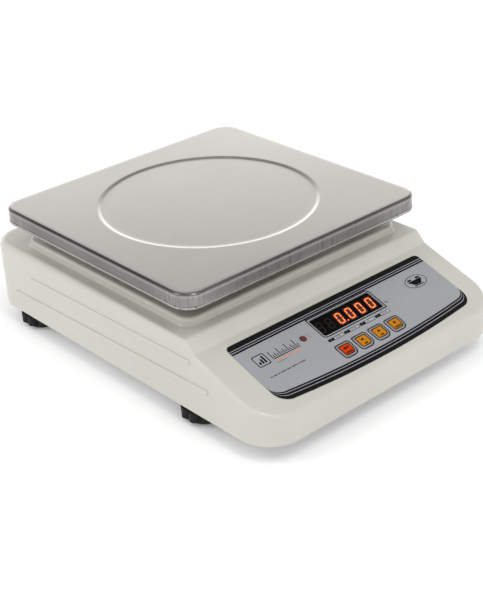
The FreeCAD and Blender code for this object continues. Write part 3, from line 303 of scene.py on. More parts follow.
M["ink_orange"] = plain("ink_orange", (0.74, 0.20, 0.05), (0.80, 0.24, 0.06), 0.45, 0.0, 500.0, 0.08)
M["ink_green"] = plain("ink_green", (0.02, 0.22, 0.10), (0.03, 0.28, 0.13), 0.45, 0.0, 500.0, 0.08)
M["ink_red"] = plain("ink_red", (0.60, 0.05, 0.03), (0.68, 0.07, 0.04), 0.45, 0.0, 500.0, 0.08)
M["key_red"] = plain("key_red", (0.54, 0.040, 0.0025), (0.60, 0.051, 0.004), 0.42, 0.0, 420.0, 0.12, 0.0001, 0.08)
M["key_amber"] = plain("key_amber", (0.50, 0.182, 0.008), (0.56, 0.205, 0.011), 0.42, 0.0, 420.0, 0.12, 0.0001, 0.08)
M["key_rim"] = plain("key_rim", (0.300, 0.292, 0.285), (0.350, 0.342, 0.335), 0.45, 0.0, 420.0, 0.1, 0.0001, 0.15)
M["seg_off"] = plain("segment_off", (0.0105, 0.0098, 0.0085), (0.0145, 0.0135, 0.0115), 0.5, 0.0, 400.0, 0.0, 0.0001, 0.1)
M["seg_edge"] = glow("segment_glow_edge", (1.0, 0.020, 0.002), 0.95)
M["seg_core"] = glow("segment_glow_core", (1.0, 0.085, 0.004), 1.6)
M["seg_hot"] = glow("segment_glow_hot", (1.0, 0.40, 0.06), 2.0)
M["segment_halo"] = glow("segment_halo", (0.50, 0.006, 0.002), 0.05)


def overlay_mat():
    """silver-grey printed polyester: tiny flakes and a fine matt texture."""
    m, nt, b = new_mat("overlay_silver_print")
    v = coords(nt)
    n = noise(nt, v, 1400.0, 2.0, 0.6)
    big = noise(nt, v, 25.0, 2.0)
    col = mix(nt, remap(nt, n, 0.3, 0.7, 0, 1), (0.315, 0.322, 0.345), (0.365, 0.372, 0.395))
    col = mix(nt, remap(nt, big, 0.35, 0.65, 0, 0.25), col, (0.375, 0.382, 0.405))
    link(nt, col, b.inputs["Base Color"])
    b.inputs["Metallic"].default_value = 0.15
    link(nt, remap(nt, n, 0.3, 0.7, 0.40, 0.50), b.inputs["Roughness"])
    link(nt, bump(nt, n, 0.10, 0.00008), b.inputs["Normal"])
    return m


M["overlay"] = overlay_mat()
for k_ in ("ink_black", "key_red", "key_amber"):
    [n_ for n_ in M[k_].node_tree.nodes if n_.type == "BSDF_PRINCIPLED"][0].inputs["IOR"].default_value = 1.22


def window_mat():
    m, nt, b = new_mat("window_smoked")
    v = coords(nt)
    n = noise(nt, v, 60.0, 2.0)
    link(nt, mix(nt, remap(nt, n, 0.3, 0.7, 0, 1), (0.0025, 0.002, 0.002), (0.0045, 0.0035, 0.003)), b.inputs["Base Color"])
    link(nt, remap(nt, n, 0.3, 0.7, 0.10, 0.16), b.inputs["Roughness"])
    b.inputs["IOR"].default_value = 1.14
    b.inputs["Specular IOR Level"].default_value = 0.3
    return m


M["window"] = window_mat()


def lamp_mat():
    m, nt, b = new_mat("lamp_dark_red")
    v = coords(nt)
    n = noise(nt, v, 500.0, 1.0)
    link(nt, mix(nt, remap(nt, n, 0.3, 0.7, 0, 1), (0.10, 0.006, 0.006), (0.16, 0.010, 0.010)), b.inputs["Base Color"])
    b.inputs["Roughness"].default_value = 0.14
    b.inputs["Coat Weight"].default_value = 0.5
    return m


M["lamp"] = lamp_mat()

# every CAD node gets its finish
BY_SLOT = {
    "housing_ivory": "ivory", "plate_steel": "steel", "fastener_steel": "fast", "cell_aluminium": "cell", "cast_spider": "cast",
    "pan_stainless": "pan_top", "buffer_rubber": "rubber", "knob_black": "knob", "overlay_print": "overlay", "window_smoke": "window",
    "key_red": "key_rim", "key_amber": "key_rim", "digit_black": "component", "led_red": "lamp", "board_green": "board",
    "component_black": "component", "battery_black": "battery", "core_steel": "core", "winding_tape": "tape", "inlet_black": "black_plastic",
    "cable_jacket": "cable",
}
for sp in frame["record"]["subparts"]:
    o = nodes.get(sp["node"])
    if o is None:
        continue
    o.data.materials.clear()
    o.data.materials.append(M[BY_SLOT[sp["material_slot"]]])


# ---------------------------------------------------------------- mesh helpers
def link_obj(o):
    scene.collection.objects.link(o)
    return o


def mesh_obj(name, verts, faces, mats, smooth=True):
    me = bpy.data.meshes.new(name)
    me.from_pydata([tuple(v) for v in verts], [], faces)
    me.update()
    for m in mats:
        me.materials.append(m)
    if smooth:
        me.polygons.foreach_set("use_smooth", [True] * len(me.polygons))
    return link_obj(bpy.data.objects.new(name, me))


def ring_faces(nloops, n, closed_loops=True, flip=False):
    f = []
    for i in range(nloops - 1):
        for j in range(n):
            a, b = i * n + j, i * n + (j + 1) % n
            c, d = (i + 1) * n + (j + 1) % n, (i + 1) * n + j
            f.append((a, d, c, b) if flip else (a, b, c, d))
    return f


def rr_loop(hw, hd, r, nc=14, ns=22):
    """rounded rectangle, anticlockwise, starting on the +X side."""
    pts = []
    r = max(r, 0.0001)
    corners = ((hw - r, hd - r, 0), (-hw + r, hd - r, 90), (-hw + r, -hd + r, 180), (hw - r, -hd + r, 270))
    arcs = []
    for cx, cy, a0 in corners:
        arcs.append([(cx + r * math.cos(math.radians(a0 + 90 * k / nc)), cy + r * math.sin(math.radians(a0 + 90 * k / nc))) for k in range(nc + 1)])
    for i in range(4):
        pts += arcs[i]
        a, b = arcs[i][-1], arcs[(i + 1) % 4][0]
        for k in range(1, ns):
            t = k / ns
            pts.append((a[0] + (b[0] - a[0]) * t, a[1] + (b[1] - a[1]) * t))
    return pts


def curve_slab(name, loops, n0, n1, mat, body="housing", M4=PANEL_M):
    """flat print or plate: outlines in panel millimetres (holes by even-odd), from n0 to n1 off the panel."""
    cu = bpy.data.curves.new(name, "CURVE")
    cu.dimensions = "2D"
    cu.fill_mode = "BOTH"
    cu.extrude = (n1 - n0) / 2
    for lp in loops:
        sp = cu.splines.new("POLY")
        sp.points.add(len(lp) - 1)
        for p, q in zip(sp.points, lp):
            p.co = (q[0], q[1], 0, 1)
        sp.use_cyclic_u = True
    tmp = link_obj(bpy.data.objects.new(name + "_c", cu))
    bpy.context.view_layer.update()
    me = bpy.data.meshes.new_from_object(tmp)
    bpy.data.objects.remove(tmp)
    me.name = name
    bm = bmesh.new()
    bm.from_mesh(me)
    bmesh.ops.remove_doubles(bm, verts=bm.verts, dist=1e-4)
    bmesh.ops.recalc_face_normals(bm, faces=bm.faces)
    bm.to_mesh(me)
    bm.free()
    me.transform(M4 @ Matrix.Translation((0, 0, (n0 + n1) / 2)))
    me.materials.clear()
    me.materials.append(mat)
    o = link_obj(bpy.data.objects.new(name, me))
    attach(o, body)
    return o


def rrect2(x0, x1, v0, v1, r, n=6):
    """rounded rectangle outline; r is one number or four for (x0,v0) (x1,v0) (x1,v1) (x0,v1)."""
    if not isinstance(r, (tuple, list)):
        r = (r,) * 4
    out = []
    for (cx, cy, a0, rr) in ((x0, v0, 180, r[0]), (x1, v0, 270, r[1]), (x1, v1, 0, r[2]), (x0, v1, 90, r[3])):
        sx = 1 if cx == x0 else -1
        sy = 1 if cy == v0 else -1
        c = (cx + sx * rr, cy + sy * rr)
        if rr < 1e-4:
            out.append((cx, cy))
            continue
        for k in range(n + 1):
            a = math.radians(a0 + 90 * k / n)
            out.append((c[0] + rr * math.cos(a), c[1] + rr * math.sin(a)))
    return out


def ellipse2(cx, cv, a, b, n=48, rev=False):
    p = [(cx + a * math.cos(2 * math.pi * k / n), cv + b * math.sin(2 * math.pi * k / n)) for k in range(n)]
    return p[::-1] if rev else p


# ---------------------------------------------------------------- pan
def build_pan():
    hw, hd = PAN_W / 2 / MM, PAN_D / 2 / MM
    R = 19.0
    nc, ns = 18, 30
    top = PAN_TOP / MM
    bot = plo.z / MM
    n = 4 * (nc + 1) + 4 * (ns - 1)
    loops = []          # (list of (x, y, z), material)

    def rr(off, z, r=None):
        rad = max(R - off, 0.6) if r is None else r
        return [(x, y, z) for x, y in rr_loop(hw - off, hd - off, rad, nc, ns)]

    def circ(radius, z):
        # points spread like the outline's, by angle, so the flat between them stays even
        base = rr_loop(hw - 10, hd - 10, R, nc, ns)
        return [(radius * math.cos(math.atan2(y, x)), radius * math.sin(math.atan2(y, x)), z) for x, y in base]

    def blend(a, b, t):
        return [tuple(p[i] * (1 - t) + q[i] * t for i in range(3)) for p, q in zip(a, b)]

    rc, rw, drop = 100.7, 2.4, 1.0
    # outer face, from the hem to the middle
    seq = []
    hem = 3.2
    seq.append(rr(1.95, bot + 5.8)); seq.append(rr(1.98, bot + 1.0))
    for k in range(1, 7):                                  # rolled lower edge
        a = math.pi * k / 7
        seq.append(rr(1.0 + 0.98 * math.cos(a), bot + 1.0 - 1.0 * math.sin(a)))
    seq.append(rr(0.0, bot + 1.0)); seq.append(rr(0.0, bot + hem - 0.8)); seq.append(rr(0.12, bot + hem - 0.3)); seq.append(rr(0.34, bot + hem))
    for k in range(1, 6):
        z = bot + hem + (top - 2.8 - bot - hem) * k / 6
        seq.append(rr(0.34 + 0.04 * math.sin(math.pi * k / 6), z))
    f = 2.6
    for k in range(0, 9):
        a = math.radians(90 * k / 8)
        seq.append(rr(0.34 + f * (1 - math.cos(a)), top - f + f * math.sin(a)))
    n_skirt = len(seq)
    edge = rr(6.0, top)
    seq.append(edge)
    seq.append(rr(10.0, top))
    c0 = circ(rc + rw + 1.4, top)
    base10 = rr(10.0, top)
    for t in (0.25, 0.5, 0.75):
        seq.append(blend(base10, c0, t))
    seq.append(c0)
    for k in range(0, 11):                                 # pressed ring: a smooth step down
        t = k / 10
        s = t * t * (3 - 2 * t)
        seq.append(circ(rc + rw - 2 * rw * t, top - drop * s))
    for rad in (94, 80, 62, 42, 22, 8):
        seq.append(circ(rad, top - drop))
    verts, faces, mats_ = [], [], []
    for lp in seq:
        verts += lp
    fcs = ring_faces(len(seq), n)
    for i in range(len(seq) - 1):
        mi = 1 if i < n_skirt - 2 else 0
        mats_ += [mi] * n
    faces += fcs
    c = len(verts)
    verts.append((0, 0, top - drop))
    last = (len(seq) - 1) * n
    for j in range(n):
        faces.append((last + j, last + (j + 1) % n, c)); mats_.append(0)
    # inner face, from the middle back to the hem
    u = top - 1.0
    inner = [circ(8, u - drop), circ(60, u - drop)]
    for k in range(0, 7):
        t = 1 - k / 6
        s = t * t * (3 - 2 * t)
        inner.append(circ(rc + rw - 2 * rw * t, u - drop * s))
    ci = circ(rc + rw + 1.4, u)
    b10 = rr(10.0, u)
    inner.append(ci); inner.append(blend(ci, b10, 0.5)); inner.append(b10)
    for k in range(0, 5):
        a = math.radians(90 - 90 * k / 4)
        inner.append(rr(1.0 + 1.8 * (1 - math.cos(a)) + 0.25, u - 1.8 + 1.8 * math.sin(a)))
    inner.append(rr(1.22, bot + 5.85)); inner.append(rr(1.6, bot + 6.0))
    base = len(verts)
    for lp in inner:
        verts += lp
    for i in range(len(inner) - 1):
        for j in range(n):
            a, b2 = base + i * n + j, base + i * n + (j + 1) % n
            d, e = base + (i + 1) * n + (j + 1) % n, base + (i + 1) * n + j
            faces.append((a, b2, d, e)); mats_.append(0)
    cc = len(verts)
    verts.append((0, 0, u - drop))
    for j in range(n):
        faces.append((base + (j + 1) % n, base + j, cc)); mats_.append(0)
    # close the hem: last inner loop to the first outer loop
    li = base + (len(inner) - 1) * n
    for j in range(n):
        faces.append((li + j, li + (j + 1) % n, (j + 1) % n, j)); mats_.append(1)

    # drawing wrinkles: small upright ripples in the skirt, strongest at the corners
    rnd = random.Random(7)
    ph = [rnd.uniform(0, 6.28) for _ in range(8)]
    out = []
    for (x, y, z) in verts:
        h = (z - bot) / (top - bot)
        cornerness = max(0.0, 1.0 - math.hypot(hw - abs(x), hd - abs(y)) / 34.0)
        if h < 0.80 and (hw - abs(x) < 2.6 or hd - abs(y) < 2.6):
            ang = math.atan2(y, x)
            s = (x if abs(y) > abs(x) * hd / hw else y)
            rip = (0.05 * math.sin(s * 0.9 + ph[0]) + 0.04 * math.sin(s * 2.3 + ph[1])) * (0.35 + 0.65 * cornerness)
            rip += cornerness * (0.16 * math.sin(ang * 150 + ph[2]) + 0.12 * math.sin(ang * 260 + ph[3]))
            fade = min(1.0, max(0.0, (0.80 - h) / 0.25)) * min(1.0, h / 0.12)
            d = (abs(rip) * -1.0 + 0.02) * fade
            L = math.hypot(x, y)
            x, y = x + x / L * d, y + y / L * d
        out.append((x * MM + PAN_CX, y * MM + PAN_CY, z * MM))
    o = mesh_obj("pan_sheet", out, faces, [M["pan_top"], M["pan_skirt"]])
    o.data.polygons.foreach_set("material_index", mats_)
    bm = bmesh.new(); bm.from_mesh(o.data)
    bmesh.ops.remove_doubles(bm, verts=bm.verts, dist=1e-7)
    bmesh.ops.recalc_face_normals(bm, faces=bm.faces)
    bm.to_mesh(o.data); bm.free()
    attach(o, "pan")
    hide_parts("weighing_pan")
    return o


build_pan()

# ---------------------------------------------------------------- panel print
OX0, OX1 = min(p.x for p in ov) / MM, max(p.x for p in ov) / MM
OV0, OV1, BOW = -46.0, 26.4, 5.2
TOP_N = 0.30


def arc3(p, q, s, n):
    """points on the circle through p, q and s, from p to s."""
    ax, ay = p; bx, by = q; cx, cy = s
    d = 2 * (ax * (by - cy) + bx * (cy - ay) + cx * (ay - by))
    ux = ((ax * ax + ay * ay) * (by - cy) + (bx * bx + by * by) * (cy - ay) + (cx * cx + cy * cy) * (ay - by)) / d
    uy = ((ax * ax + ay * ay) * (cx - bx) + (bx * bx + by * by) * (ax - cx) + (cx * cx + cy * cy) * (bx - ax)) / d
    r = math.hypot(ax - ux, ay - uy)
    a0, a1 = math.atan2(ay - uy, ax - ux), math.atan2(cy - uy, cx - ux)
    am = math.atan2(by - uy, bx - ux)
    while a1 < a0:
        a1 += 2 * math.pi
    while am < a0:
        am += 2 * math.pi
    if am > a1:
        a1 -= 2 * math.pi
    return [(ux + r * math.cos(a0 + (a1 - a0) * k / n), uy + r * math.sin(a0 + (a1 - a0) * k / n)) for k in range(n + 1)]


def resample(pts, n):
    L = [0.0]
    for a, b in zip(pts, pts[1:]):
        L.append(L[-1] + math.hypot(b[0] - a[0], b[1] - a[1]))
    out, j = [], 0
    for k in range(n + 1):
        t = L[-1] * k / n
        while j < len(L) - 2 and L[j + 1] < t:
            j += 1
        f = (t - L[j]) / max(1e-9, L[j + 1] - L[j])
        out.append((pts[j][0] + (pts[j + 1][0] - pts[j][0]) * f, pts[j][1] + (pts[j + 1][1] - pts[j][1]) * f))
    return out


def lower_curve(t):
    """t=0: the overlay's outline from side to side. t=1: the lower edge of the silver field."""
    e = 0.06
    x0, x1, vs = OX0 + e, OX1 - e, -25.5
    r2 = 14.0
    vb = OV0 + e
    left0 = [(x0, vs), (x0, vb + r2)] + [(x0 + r2 - r2 * math.cos(a), vb + r2 - r2 * math.sin(a)) for a in [math.pi / 2 * k / 14 for k in range(15)]]
    mid0 = arc3((x0 + r2, vb), ((x0 + x1) / 2, vb - BOW), (x1 - r2, vb), 40)
    right0 = [(x0 + x1 - p[0], p[1]) for p in left0][::-1]
    fb = -36.4
    ra, rb = 13.0, fb * -1 + vs
    left1 = [(x0 + ra - ra * math.cos(a), vs - rb * math.sin(a)) for a in [math.pi / 2 * k / 16 for k in range(17)]]
    mid1 = arc3((x0 + ra, fb), ((x0 + x1) / 2, fb - BOW), (x1 - ra, fb), 40)
    right1 = [(x0 + x1 - p[0], p[1]) for p in left1][::-1]
    a = resample(left0, 18)[:-1] + resample(mid0, 40)[:-1] + resample(right0, 18)
    b = resample(left1, 18)[:-1] + resample(mid1, 40)[:-1] + resample(right1, 18)
    return [(p[0] + (q[0] - p[0]) * t, p[1] + (q[1] - p[1]) * t) for p, q in zip(a, b)]


def lower_band(t0, t1):
    return lower_curve(t0) + lower_curve(t1)[::-1]


black = []
black.append(lower_band(0.0, 0.435))
black.append(lower_band(0.505, 0.755))
black.append(lower_band(0.825, 1.0))
e = 0.06
black.append(rrect2(OX0 + e, OX1 - e, 20.9, OV1 - e, (0.0, 0.0, 4.9, 4.9)))
black.append(rrect2(OX0 + e, OX1 - e, 18.6, 20.15, 0.0))
black.append(rrect2(OX0 + e, OX1 - e, 16.0, 17.85, 0.0))
curve_slab("print_bands", black, TOP_N - 0.02, TOP_N + 0.03, M["ink_black"])

# window frame: two printed lines round the opening, large corners upper right and lower left
WX0, WX1, WV0, WV1 = -30.2, 41.5, -7.5, 13.5


def frame_loop(g, r):
    return rrect2(WX0 - g, WX1 + g, WV0 - g, WV1 + g, (r, 0.6, r, 0.6))


curve_slab("print_window_frame", [frame_loop(0.42, 2.1), frame_loop(0.02, 1.9)[::-1], frame_loop(2.38, 3.9), frame_loop(1.18, 2.8)[::-1]],
           TOP_N - 0.02, TOP_N + 0.03, M["ink_black"])
curve_slab("print_window_line", [frame_loop(1.16, 2.8), frame_loop(0.44, 2.1)[::-1]], TOP_N - 0.02, TOP_N + 0.025, M["ink_light"])

# status row: four dark lamps windows, each with an outlined label
ST_V0, ST_V1 = -15.3, -12.1
ST = [(-32.3 + 18.95 * i) for i in range(4)]
dark, lines, fill, marks = [], [], [], []
for i, x in enumerate(ST):
    dark.append(rrect2(x, x + 6.6, ST_V0, ST_V1, (1.1, 0.5, 0.5, 1.1)))
    x1 = x + 18.0
    rad = 1.3 if i == 3 else 0.4
    lines.append(rrect2(x + 6.6, x1, ST_V0 - 0.2, ST_V1 + 0.2, (0.0, rad, rad, 0.0)))
    lines.append(rrect2(x + 6.9, x1 - 0.55, ST_V0 + 0.35, ST_V1 - 0.35, (0.0, max(rad - .3, .1), max(rad - .3, .1), 0.0))[::-1])
    fill.append(rrect2(x + 6.9, x1 - 0.55, ST_V0 + 0.35, ST_V1 - 0.35, (0.0, max(rad - .3, .1), max(rad - .3, .1), 0.0)))
    for k, (a, b2) in enumerate(((8.3, 9.9), (10.5, 11.6), (12.2, 14.4))[: 3 if i != 2 else 2]):
        marks.append(rrect2(x + a, x + b2, -14.15, -13.25, 0.1, 2))
curve_slab("print_status_windows", dark, TOP_N - 0.02, TOP_N + 0.035, M["ink_black"])
curve_slab("print_status_outlines", lines, TOP_N - 0.02, TOP_N + 0.03, M["ink_black"])
curve_slab("print_status_labels", fill, TOP_N - 0.02, TOP_N + 0.025, M["ink_light"])
curve_slab("print_status_marks", marks, TOP_N - 0.02, TOP_N + 0.04, M["ink_grey"])
# painted glint: a grey patch on each dark lamp window
glint = [rrect2(x + 2.2, x + 4.4, -14.2, -13.2, 0.3, 3) for x in ST]
curve_slab("status_lamp_painted_glints", glint, TOP_N - 0.02, TOP_N + 0.045, M["ink_grey"])

# generic mark in place of the maker's: a plain square badge of bars, and plain strokes where a name would be
gx = -103.0
g1 = [rrect2(gx, gx + 13.0, -6.5, 6.5, 2.0), rrect2(gx + 0.9, gx + 12.1, -5.6, 5.6, 1.4)[::-1]]
for k, h in enumerate((3.0, 5.5, 8.0)):
    g1.append(rrect2(gx + 2.6 + k * 2.9, gx + 4.5 + k * 2.9, -4.0, -4.0 + h, 0.2, 2))
curve_slab("print_generic_badge", g1, TOP_N - 0.02, TOP_N + 0.03, M["ink_black"])
strokes = [rrect2(gx + 16.2, gx + 46.4, -4.9, -4.1, 0.3, 3)]
for k in range(14):
    x0 = gx + 16.4 + k * 2.25
    strokes.append(rrect2(x0, x0 + 0.85, -3.6, (4.9 if k % 4 == 0 else 1.2 if k % 2 == 0 else -0.6), 0.3, 3))
curve_slab("print_generic_strokes", strokes, TOP_N - 0.02, TOP_N + 0.03, M["ink_black"])
curve_slab("print_generic_accent", [rrect2(gx + 16.5, gx + 46.0, -7.7, -6.9, 0.4)], TOP_N - 0.02, TOP_N + 0.03, M["ink_orange"])
curve_slab("print_generic_accent_b", [rrect2(gx + 16.5, gx + 27.0, -9.6, -8.8, 0.4)], TOP_N - 0.02, TOP_N + 0.03, M["ink_green"])
sub = []
x = gx
for w in (3.4, 4.6, 3.2, 6.6, 5.6, 7.0, 3.0, 6.2):
    sub.append(rrect2(x, x + w - 0.9, -19.6, -18.5, 0.3, 2))
    x += w
curve_slab("print_generic_subline", sub, TOP_N - 0.02, TOP_N + 0.03, M["ink_grey"])

# oval emblem: outline with a plain level mark
EX, EV = 91.5, 0.2
curve_slab("print_oval", [ellipse2(EX, EV, 12.4, 7.6), ellipse2(EX, EV, 11.75, 6.95, rev=True)], TOP_N - 0.02, TOP_N + 0.03, M["ink_black"])
lev = [rrect2(EX - 8.0, EX + 8.0, 0.6, 2.2, 0.7), [(EX - 3.6, -3.6), (EX + 3.6, -3.6), (EX, 0.8)],
       rrect2(EX - 5.6, EX + 5.6, -5.0, -3.9, 0.4), rrect2(EX - 7.6, EX - 2.6, 2.7, 4.6, 0.9), rrect2(EX + 2.6, EX + 7.6, 2.7, 4.6, 0.9)]
curve_slab("print_oval_mark", lev, TOP_N - 0.02, TOP_N + 0.035, M["ink_black"])

# lamp: ring and its two small marks
LX, LV = -48.8, 0.2
curve_slab("print_lamp_ring", [ellipse2(LX, LV, 3.25, 3.25), ellipse2(LX, LV, 2.65, 2.65, rev=True)], TOP_N - 0.02, TOP_N + 0.03, M["ink_black"])
curve_slab("print_lamp_green", [rrect2(LX + 4.6, LX + 6.0, 1.3, 2.1, 0.2), rrect2(LX + 6.5, LX + 8.2, 1.3, 2.1, 0.2)], TOP_N - 0.02, TOP_N + 0.03, M["ink_green"])
curve_slab("print_lamp_red", [rrect2(LX + 4.6, LX + 5.6, -1.3, -0.5, 0.2), rrect2(LX + 6.1, LX + 8.2, -1.3, -0.5, 0.2)], TOP_N - 0.02, TOP_N + 0.03, M["ink_red"])


def text_obj(name, body_text, x, v, size, mat, n0=TOP_N, body="housing"):
    cu = bpy.data.curves.new(name, "FONT")
    cu.body = body_text
    cu.size = size
    cu.align_x, cu.align_y = "CENTER", "CENTER"
    cu.extrude = 0.025
    cu.offset = 0.02
    tmp = link_obj(bpy.data.objects.new(name + "_t", cu))
    bpy.context.view_layer.update()
    me = bpy.data.meshes.new_from_object(tmp)
    bpy.data.objects.remove(tmp)
    me.name = name
    me.transform(PANEL_M @ Matrix.Translation((x, v, n0 + 0.01)))
    me.materials.clear()
    me.materials.append(mat)
    o = link_obj(bpy.data.objects.new(name, me))
    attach(o, body)
    return o


text_obj("print_unit_kg", "kg", 47.6, -4.6, 4.4, M["ink_grey"])

# ---------------------------------------------------------------- digits
SEG_W = 1.5
DH, DW = 12.6, 6.7          # height and width between the outer edges of the segments
SLANT = math.tan(math.radians(8.0))
DIG_V = 2.45
DIG_X = [-25.9, -14.7] + [-2.8 + 12.5 * k for k in range(4)]


def seg_poly(cx, kind, w, shrink):
    """hexagonal segment outline, leaning with the digit."""
    hx, hy = DW / 2 - SEG_W / 2, DH / 2 - SEG_W / 2
    g = 0.06 + shrink
    if kind == "a":
        p, q = (-hx, hy), (hx, hy)
    elif kind == "g":
        p, q = (-hx, 0), (hx, 0)
    elif kind == "d":
        p, q = (-hx, -hy), (hx, -hy)
    elif kind == "f":
        p, q = (-hx, 0), (-hx, hy)
    elif kind == "b":
        p, q = (hx, 0), (hx, hy)
    elif kind == "e":
        p, q = (-hx, -hy), (-hx, 0)
    else:
        p, q = (hx, -hy), (hx, 0)
    dx, dy = q[0] - p[0], q[1] - p[1]
    L = math.hypot(dx, dy)
    ux, uy = dx / L, dy / L
    nx, ny = -uy, ux
    h = w / 2
    p = (p[0] + ux * g, p[1] + uy * g)
    q = (q[0] - ux * g, q[1] - uy * g)
    pts = [p, (p[0] + ux * h - nx * h, p[1] + uy * h - ny * h), (q[0] - ux * h - nx * h, q[1] - uy * h - ny * h), q,
           (q[0] - ux * h + nx * h, q[1] - uy * h + ny * h), (p[0] + ux * h + nx * h, p[1] + uy * h + ny * h)]
    return [(cx + x + y * SLANT, DIG_V + y) for x, y in pts]


LENS_N = -0.60
lit, core, hot, off = [], [], [], []
for i, cx in enumerate(DIG_X):
    if i < 2:
        off += [seg_poly(cx, s, SEG_W * 0.9, 0.0) for s in "abcdefg"]
    else:
        for s in "abcdef":
            lit.append(seg_poly(cx, s, SEG_W, 0.0))
            core.append(seg_poly(cx, s, SEG_W * 0.56, 0.18))
            hot.append(seg_poly(cx, s, SEG_W * 0.30, 0.45))
        off.append(seg_poly(cx, "g", SEG_W * 0.8, 0.1))
px_ = DIG_X[2] + 5.0
lit.append(ellipse2(px_, DIG_V - DH / 2 + 0.75, 0.95, 0.95, 24))
core.append(ellipse2(px_, DIG_V - DH / 2 + 0.75, 0.6, 0.6, 20))
hot.append(ellipse2(px_, DIG_V - DH / 2 + 0.75, 0.3, 0.3, 16))
off = [[(min(max(a, WX0 + .05), WX1 - .05), b) for a, b in lp] for lp in off]
halo = []
for cx in DIG_X[2:]:
    hx, hy = DW / 2 + 0.9, DH / 2 + 0.9
    pts = rrect2(-hx, hx, -hy, hy, 1.8)
    halo.append([(cx + a + b * SLANT, DIG_V + b) for a, b in pts])
curve_slab("digit_halo", halo, LENS_N - 0.02, LENS_N + 0.012, M["segment_halo"])
curve_slab("digit_segments_off", off, LENS_N - 0.02, LENS_N + 0.02, M["seg_off"])
curve_slab("digit_segments_lit", lit, LENS_N - 0.02, LENS_N + 0.03, M["seg_edge"])
curve_slab("digit_segments_core", core, LENS_N - 0.02, LENS_N + 0.045, M["seg_core"])
curve_slab("digit_segments_hot", hot, LENS_N - 0.02, LENS_N + 0.06, M["seg_hot"])

# ---------------------------------------------------------------- keys
KEY_X0, KEY_P, KEY_W, KV0, KV1 = -32.3, 19.8, 14.5, -36.1, -22.1
KT = 0.75


def key_loop(i, inset):
    x0 = KEY_X0 + i * KEY_P
    r = (max(2.6 - inset, 0.3), max(5.5 - inset, 0.6), max(1.4 - inset, 0.25), max(1.4 - inset, 0.25))
    return rrect2(x0 + inset, x0 + KEY_W - inset, KV0 + inset, KV1 - inset, r)


for i in range(4):
    body = "key_%d" % (i + 1)
    cx, cv = KEY_X0 + i * KEY_P + KEY_W / 2, (KV0 + KV1) / 2
    curve_slab("print_key_%d_frame" % (i + 1), [key_loop(i, -1.45), key_loop(i, -0.45)[::-1]], TOP_N - 0.02, TOP_N + 0.03, M["ink_black"], "housing")
    curve_slab("key_%d_inner_line" % (i + 1), [key_loop(i, 1.0), key_loop(i, 2.05)[::-1]], KT - 0.05, KT + 0.025, M["ink_black"], body)
    curve_slab("key_%d_field" % (i + 1), [key_loop(i, 2.0)], KT - 0.05, KT + 0.02, M["key_red"] if i == 0 else M["key_amber"], body)
    y = cv + 1.6
    k_ = 1.3
    if i == 0:
        ic = [[(cx - 2.4 * k_, y), (cx - .4 * k_, y + 1.5 * k_), (cx - .4 * k_, y + .45 * k_), (cx + 1.5 * k_, y + .45 * k_), (cx + 1.5 * k_, y + 1.6 * k_),
               (cx + 2.4 * k_, y + 1.6 * k_), (cx + 2.4 * k_, y - .45 * k_), (cx - .4 * k_, y - .45 * k_), (cx - .4 * k_, y - 1.3 * k_)]]
    elif i == 1:
        ic = [[(cx - 1.9 * k_, y), (cx + 1.2 * k_, y + 1.5 * k_), (cx + .5 * k_, y), (cx + 1.2 * k_, y - 1.5 * k_)]]
    elif i == 2:
        ic = [[(cx, y + 1.7 * k_), (cx + 1.5 * k_, y - 1.3 * k_), (cx, y - .5 * k_), (cx - 1.5 * k_, y - 1.3 * k_)]]
    else:
        ic = [rrect2(cx - 1.2, cx + 1.2, y - 1.2, y + 1.2, 0.7)]
    bars = [rrect2(cx + x0_, cx + x0_ + 1.45, cv - 4.3, cv - 2.2, 0.25, 2) for x0_ in (-3.7, -1.75, 0.2, 2.15)]
    if i in (1, 2):
        bars = bars[1:3]
    curve_slab("key_%d_icon" % (i + 1), ic + bars, KT - 0.05, KT + 0.045, M["ink_black"], body)

# ---------------------------------------------------------------- floor, light, camera
fl = mesh_obj("floor", [(-6, -6, 0), (6, -6, 0), (6, 6, 0), (-6, 6, 0)], [(0, 1, 2, 3)], [], smooth=False)
fm, fnt, fb = new_mat("floor_pale")
fv = coords(fnt)
link(fnt, mix(fnt, noise(fnt, fv, 3.0, 2.0), (0.945, 0.945, 0.945), (0.955, 0.955, 0.955)), fb.inputs["Base Color"])
fb.inputs["Roughness"].default_value = 0.85
fb.inputs["Emission Color"].default_value = (1.0, 1.0, 1.0, 1.0)
fb.inputs["Emission Strength"].default_value = 0.12
fb.inputs["Specular IOR Level"].default_value = 0.1
fl.data.materials.append(fm)

WORLD, GEN0, GEN1, GEN2, GENTOP = 1.0, 0.98, 0.92, 0.85, 1.0
world = bpy.data.worlds.new("studio")
scene.world = world
world.use_nodes = True
wnt = world.node_tree
for n_ in list(wnt.nodes):
    wnt.nodes.remove(n_)
wo = wnt.nodes.new("ShaderNodeOutputWorld")
bg = wnt.nodes.new("ShaderNodeBackground")
wnt.links.new(bg.outputs[0], wo.inputs[0])
# a bright low sweep behind the object, darker above it, brighter again overhead: the stepless tone of a lit studio cove
wtc = wnt.nodes.new("ShaderNodeTexCoord")
wsep = wnt.nodes.new("ShaderNodeSeparateXYZ")
wnt.links.new(wtc.outputs["Generated"], wsep.inputs[0])


def ramp(stops):
    r = wnt.nodes.new("ShaderNodeValToRGB")
    r.color_ramp.interpolation = "B_SPLINE"
    els = r.color_ramp.elements
    for i, (p, v) in enumerate(stops):
        e_ = els[i] if i < 2 else els.new(p)
        e_.position = p
        e_.color = (v / 2, v / 2, v / 2, 1)
    wnt.links.new(wsep.outputs["Z"], r.inputs[0])
    return r.outputs[0]


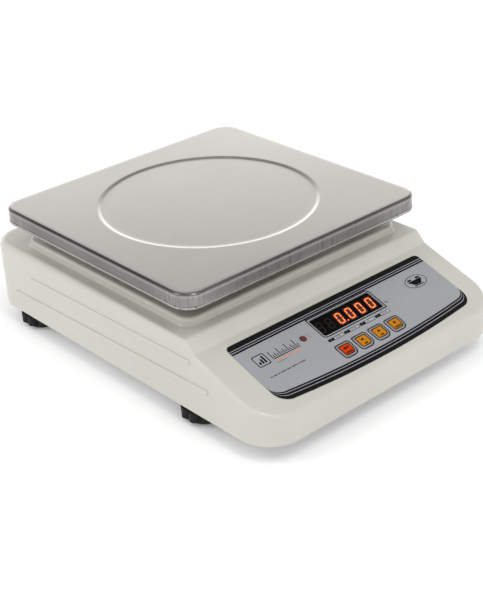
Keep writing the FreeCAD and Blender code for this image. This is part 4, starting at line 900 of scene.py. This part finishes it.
gen = ramp([(0.0, GEN0), (1.0, GENTOP), (0.30, GEN1), (0.62, GEN2)])
bck = ramp([(0.0, 1.9), (1.0, GENTOP), (0.24, 1.9), (0.32, 1.62), (0.38, 1.16), (0.43, 0.84), (0.49, 0.60), (0.58, 0.38), (0.72, 0.30), (0.86, 0.48)])
side = math_node(wnt, "ADD", math_node(wnt, "MULTIPLY", wsep.outputs["X"], 0.65), math_node(wnt, "MULTIPLY", wsep.outputs["Y"], 0.76))
flat_ = math_node(wnt, "SQRT", math_node(wnt, "MAXIMUM", math_node(wnt, "SUBTRACT", 1.0, math_node(wnt, "MULTIPLY", wsep.outputs["Z"], wsep.outputs["Z"])), 0.0001))
fac = remap(wnt, math_node(wnt, "DIVIDE", side, flat_), 0.35, 0.85, 0, 1)
wcol = mix(wnt, fac, gen, bck)
wnt.links.new(wcol, bg.inputs["Color"])
bg.inputs["Strength"].default_value = 2.0 * WORLD


def area(name, loc, target, size, energy, colour=(1, 1, 1), size_y=None):
    l = bpy.data.lights.new(name, "AREA")
    l.energy = energy
    l.color = colour
    l.size = size
    if size_y:
        l.shape = "RECTANGLE"
        l.size_y = size_y
    o = link_obj(bpy.data.objects.new(name, l))
    o.location = loc
    d = Vector(target) - Vector(loc)
    o.rotation_euler = d.to_track_quat("-Z", "Y").to_euler()
    return o


area("front_box", (-0.22, -1.05, 1.95), (0, 0, 0.08), 0.40, 8.0, size_y=0.95)
area("left_box", (-1.45, 0.62, 1.56), (0, 0, 0.06), 0.24, 6.0, size_y=1.2)

az, el, roll = math.radians(-40.39), math.radians(28.27), math.radians(-3.23)
back = Vector((math.sin(az) * math.cos(el), -math.cos(az) * math.cos(el), math.sin(el)))
fwd = -back
right = fwd.cross(Vector((0, 0, 1))).normalized()
up = right.cross(fwd)
c_, s_ = math.cos(roll), math.sin(roll)
r2 = c_ * right + s_ * up
u2 = -s_ * right + c_ * up
cam = bpy.data.cameras.new("camera")
cam.sensor_fit = "VERTICAL"
cam.sensor_height = 36.0
cam.lens = 1317.0 * 36.0 / 600.0
cam.clip_end = 50
co = link_obj(bpy.data.objects.new("camera", cam))
rot = Matrix((r2, u2, back)).transposed().to_4x4()
co.matrix_world = Matrix.Translation((-0.7013, -0.8629 + PAN_CY, 0.4902 + PAN_TOP)) @ rot
scene.camera = co

scene.view_settings.view_transform = "Standard"
scene.view_settings.look = "None"
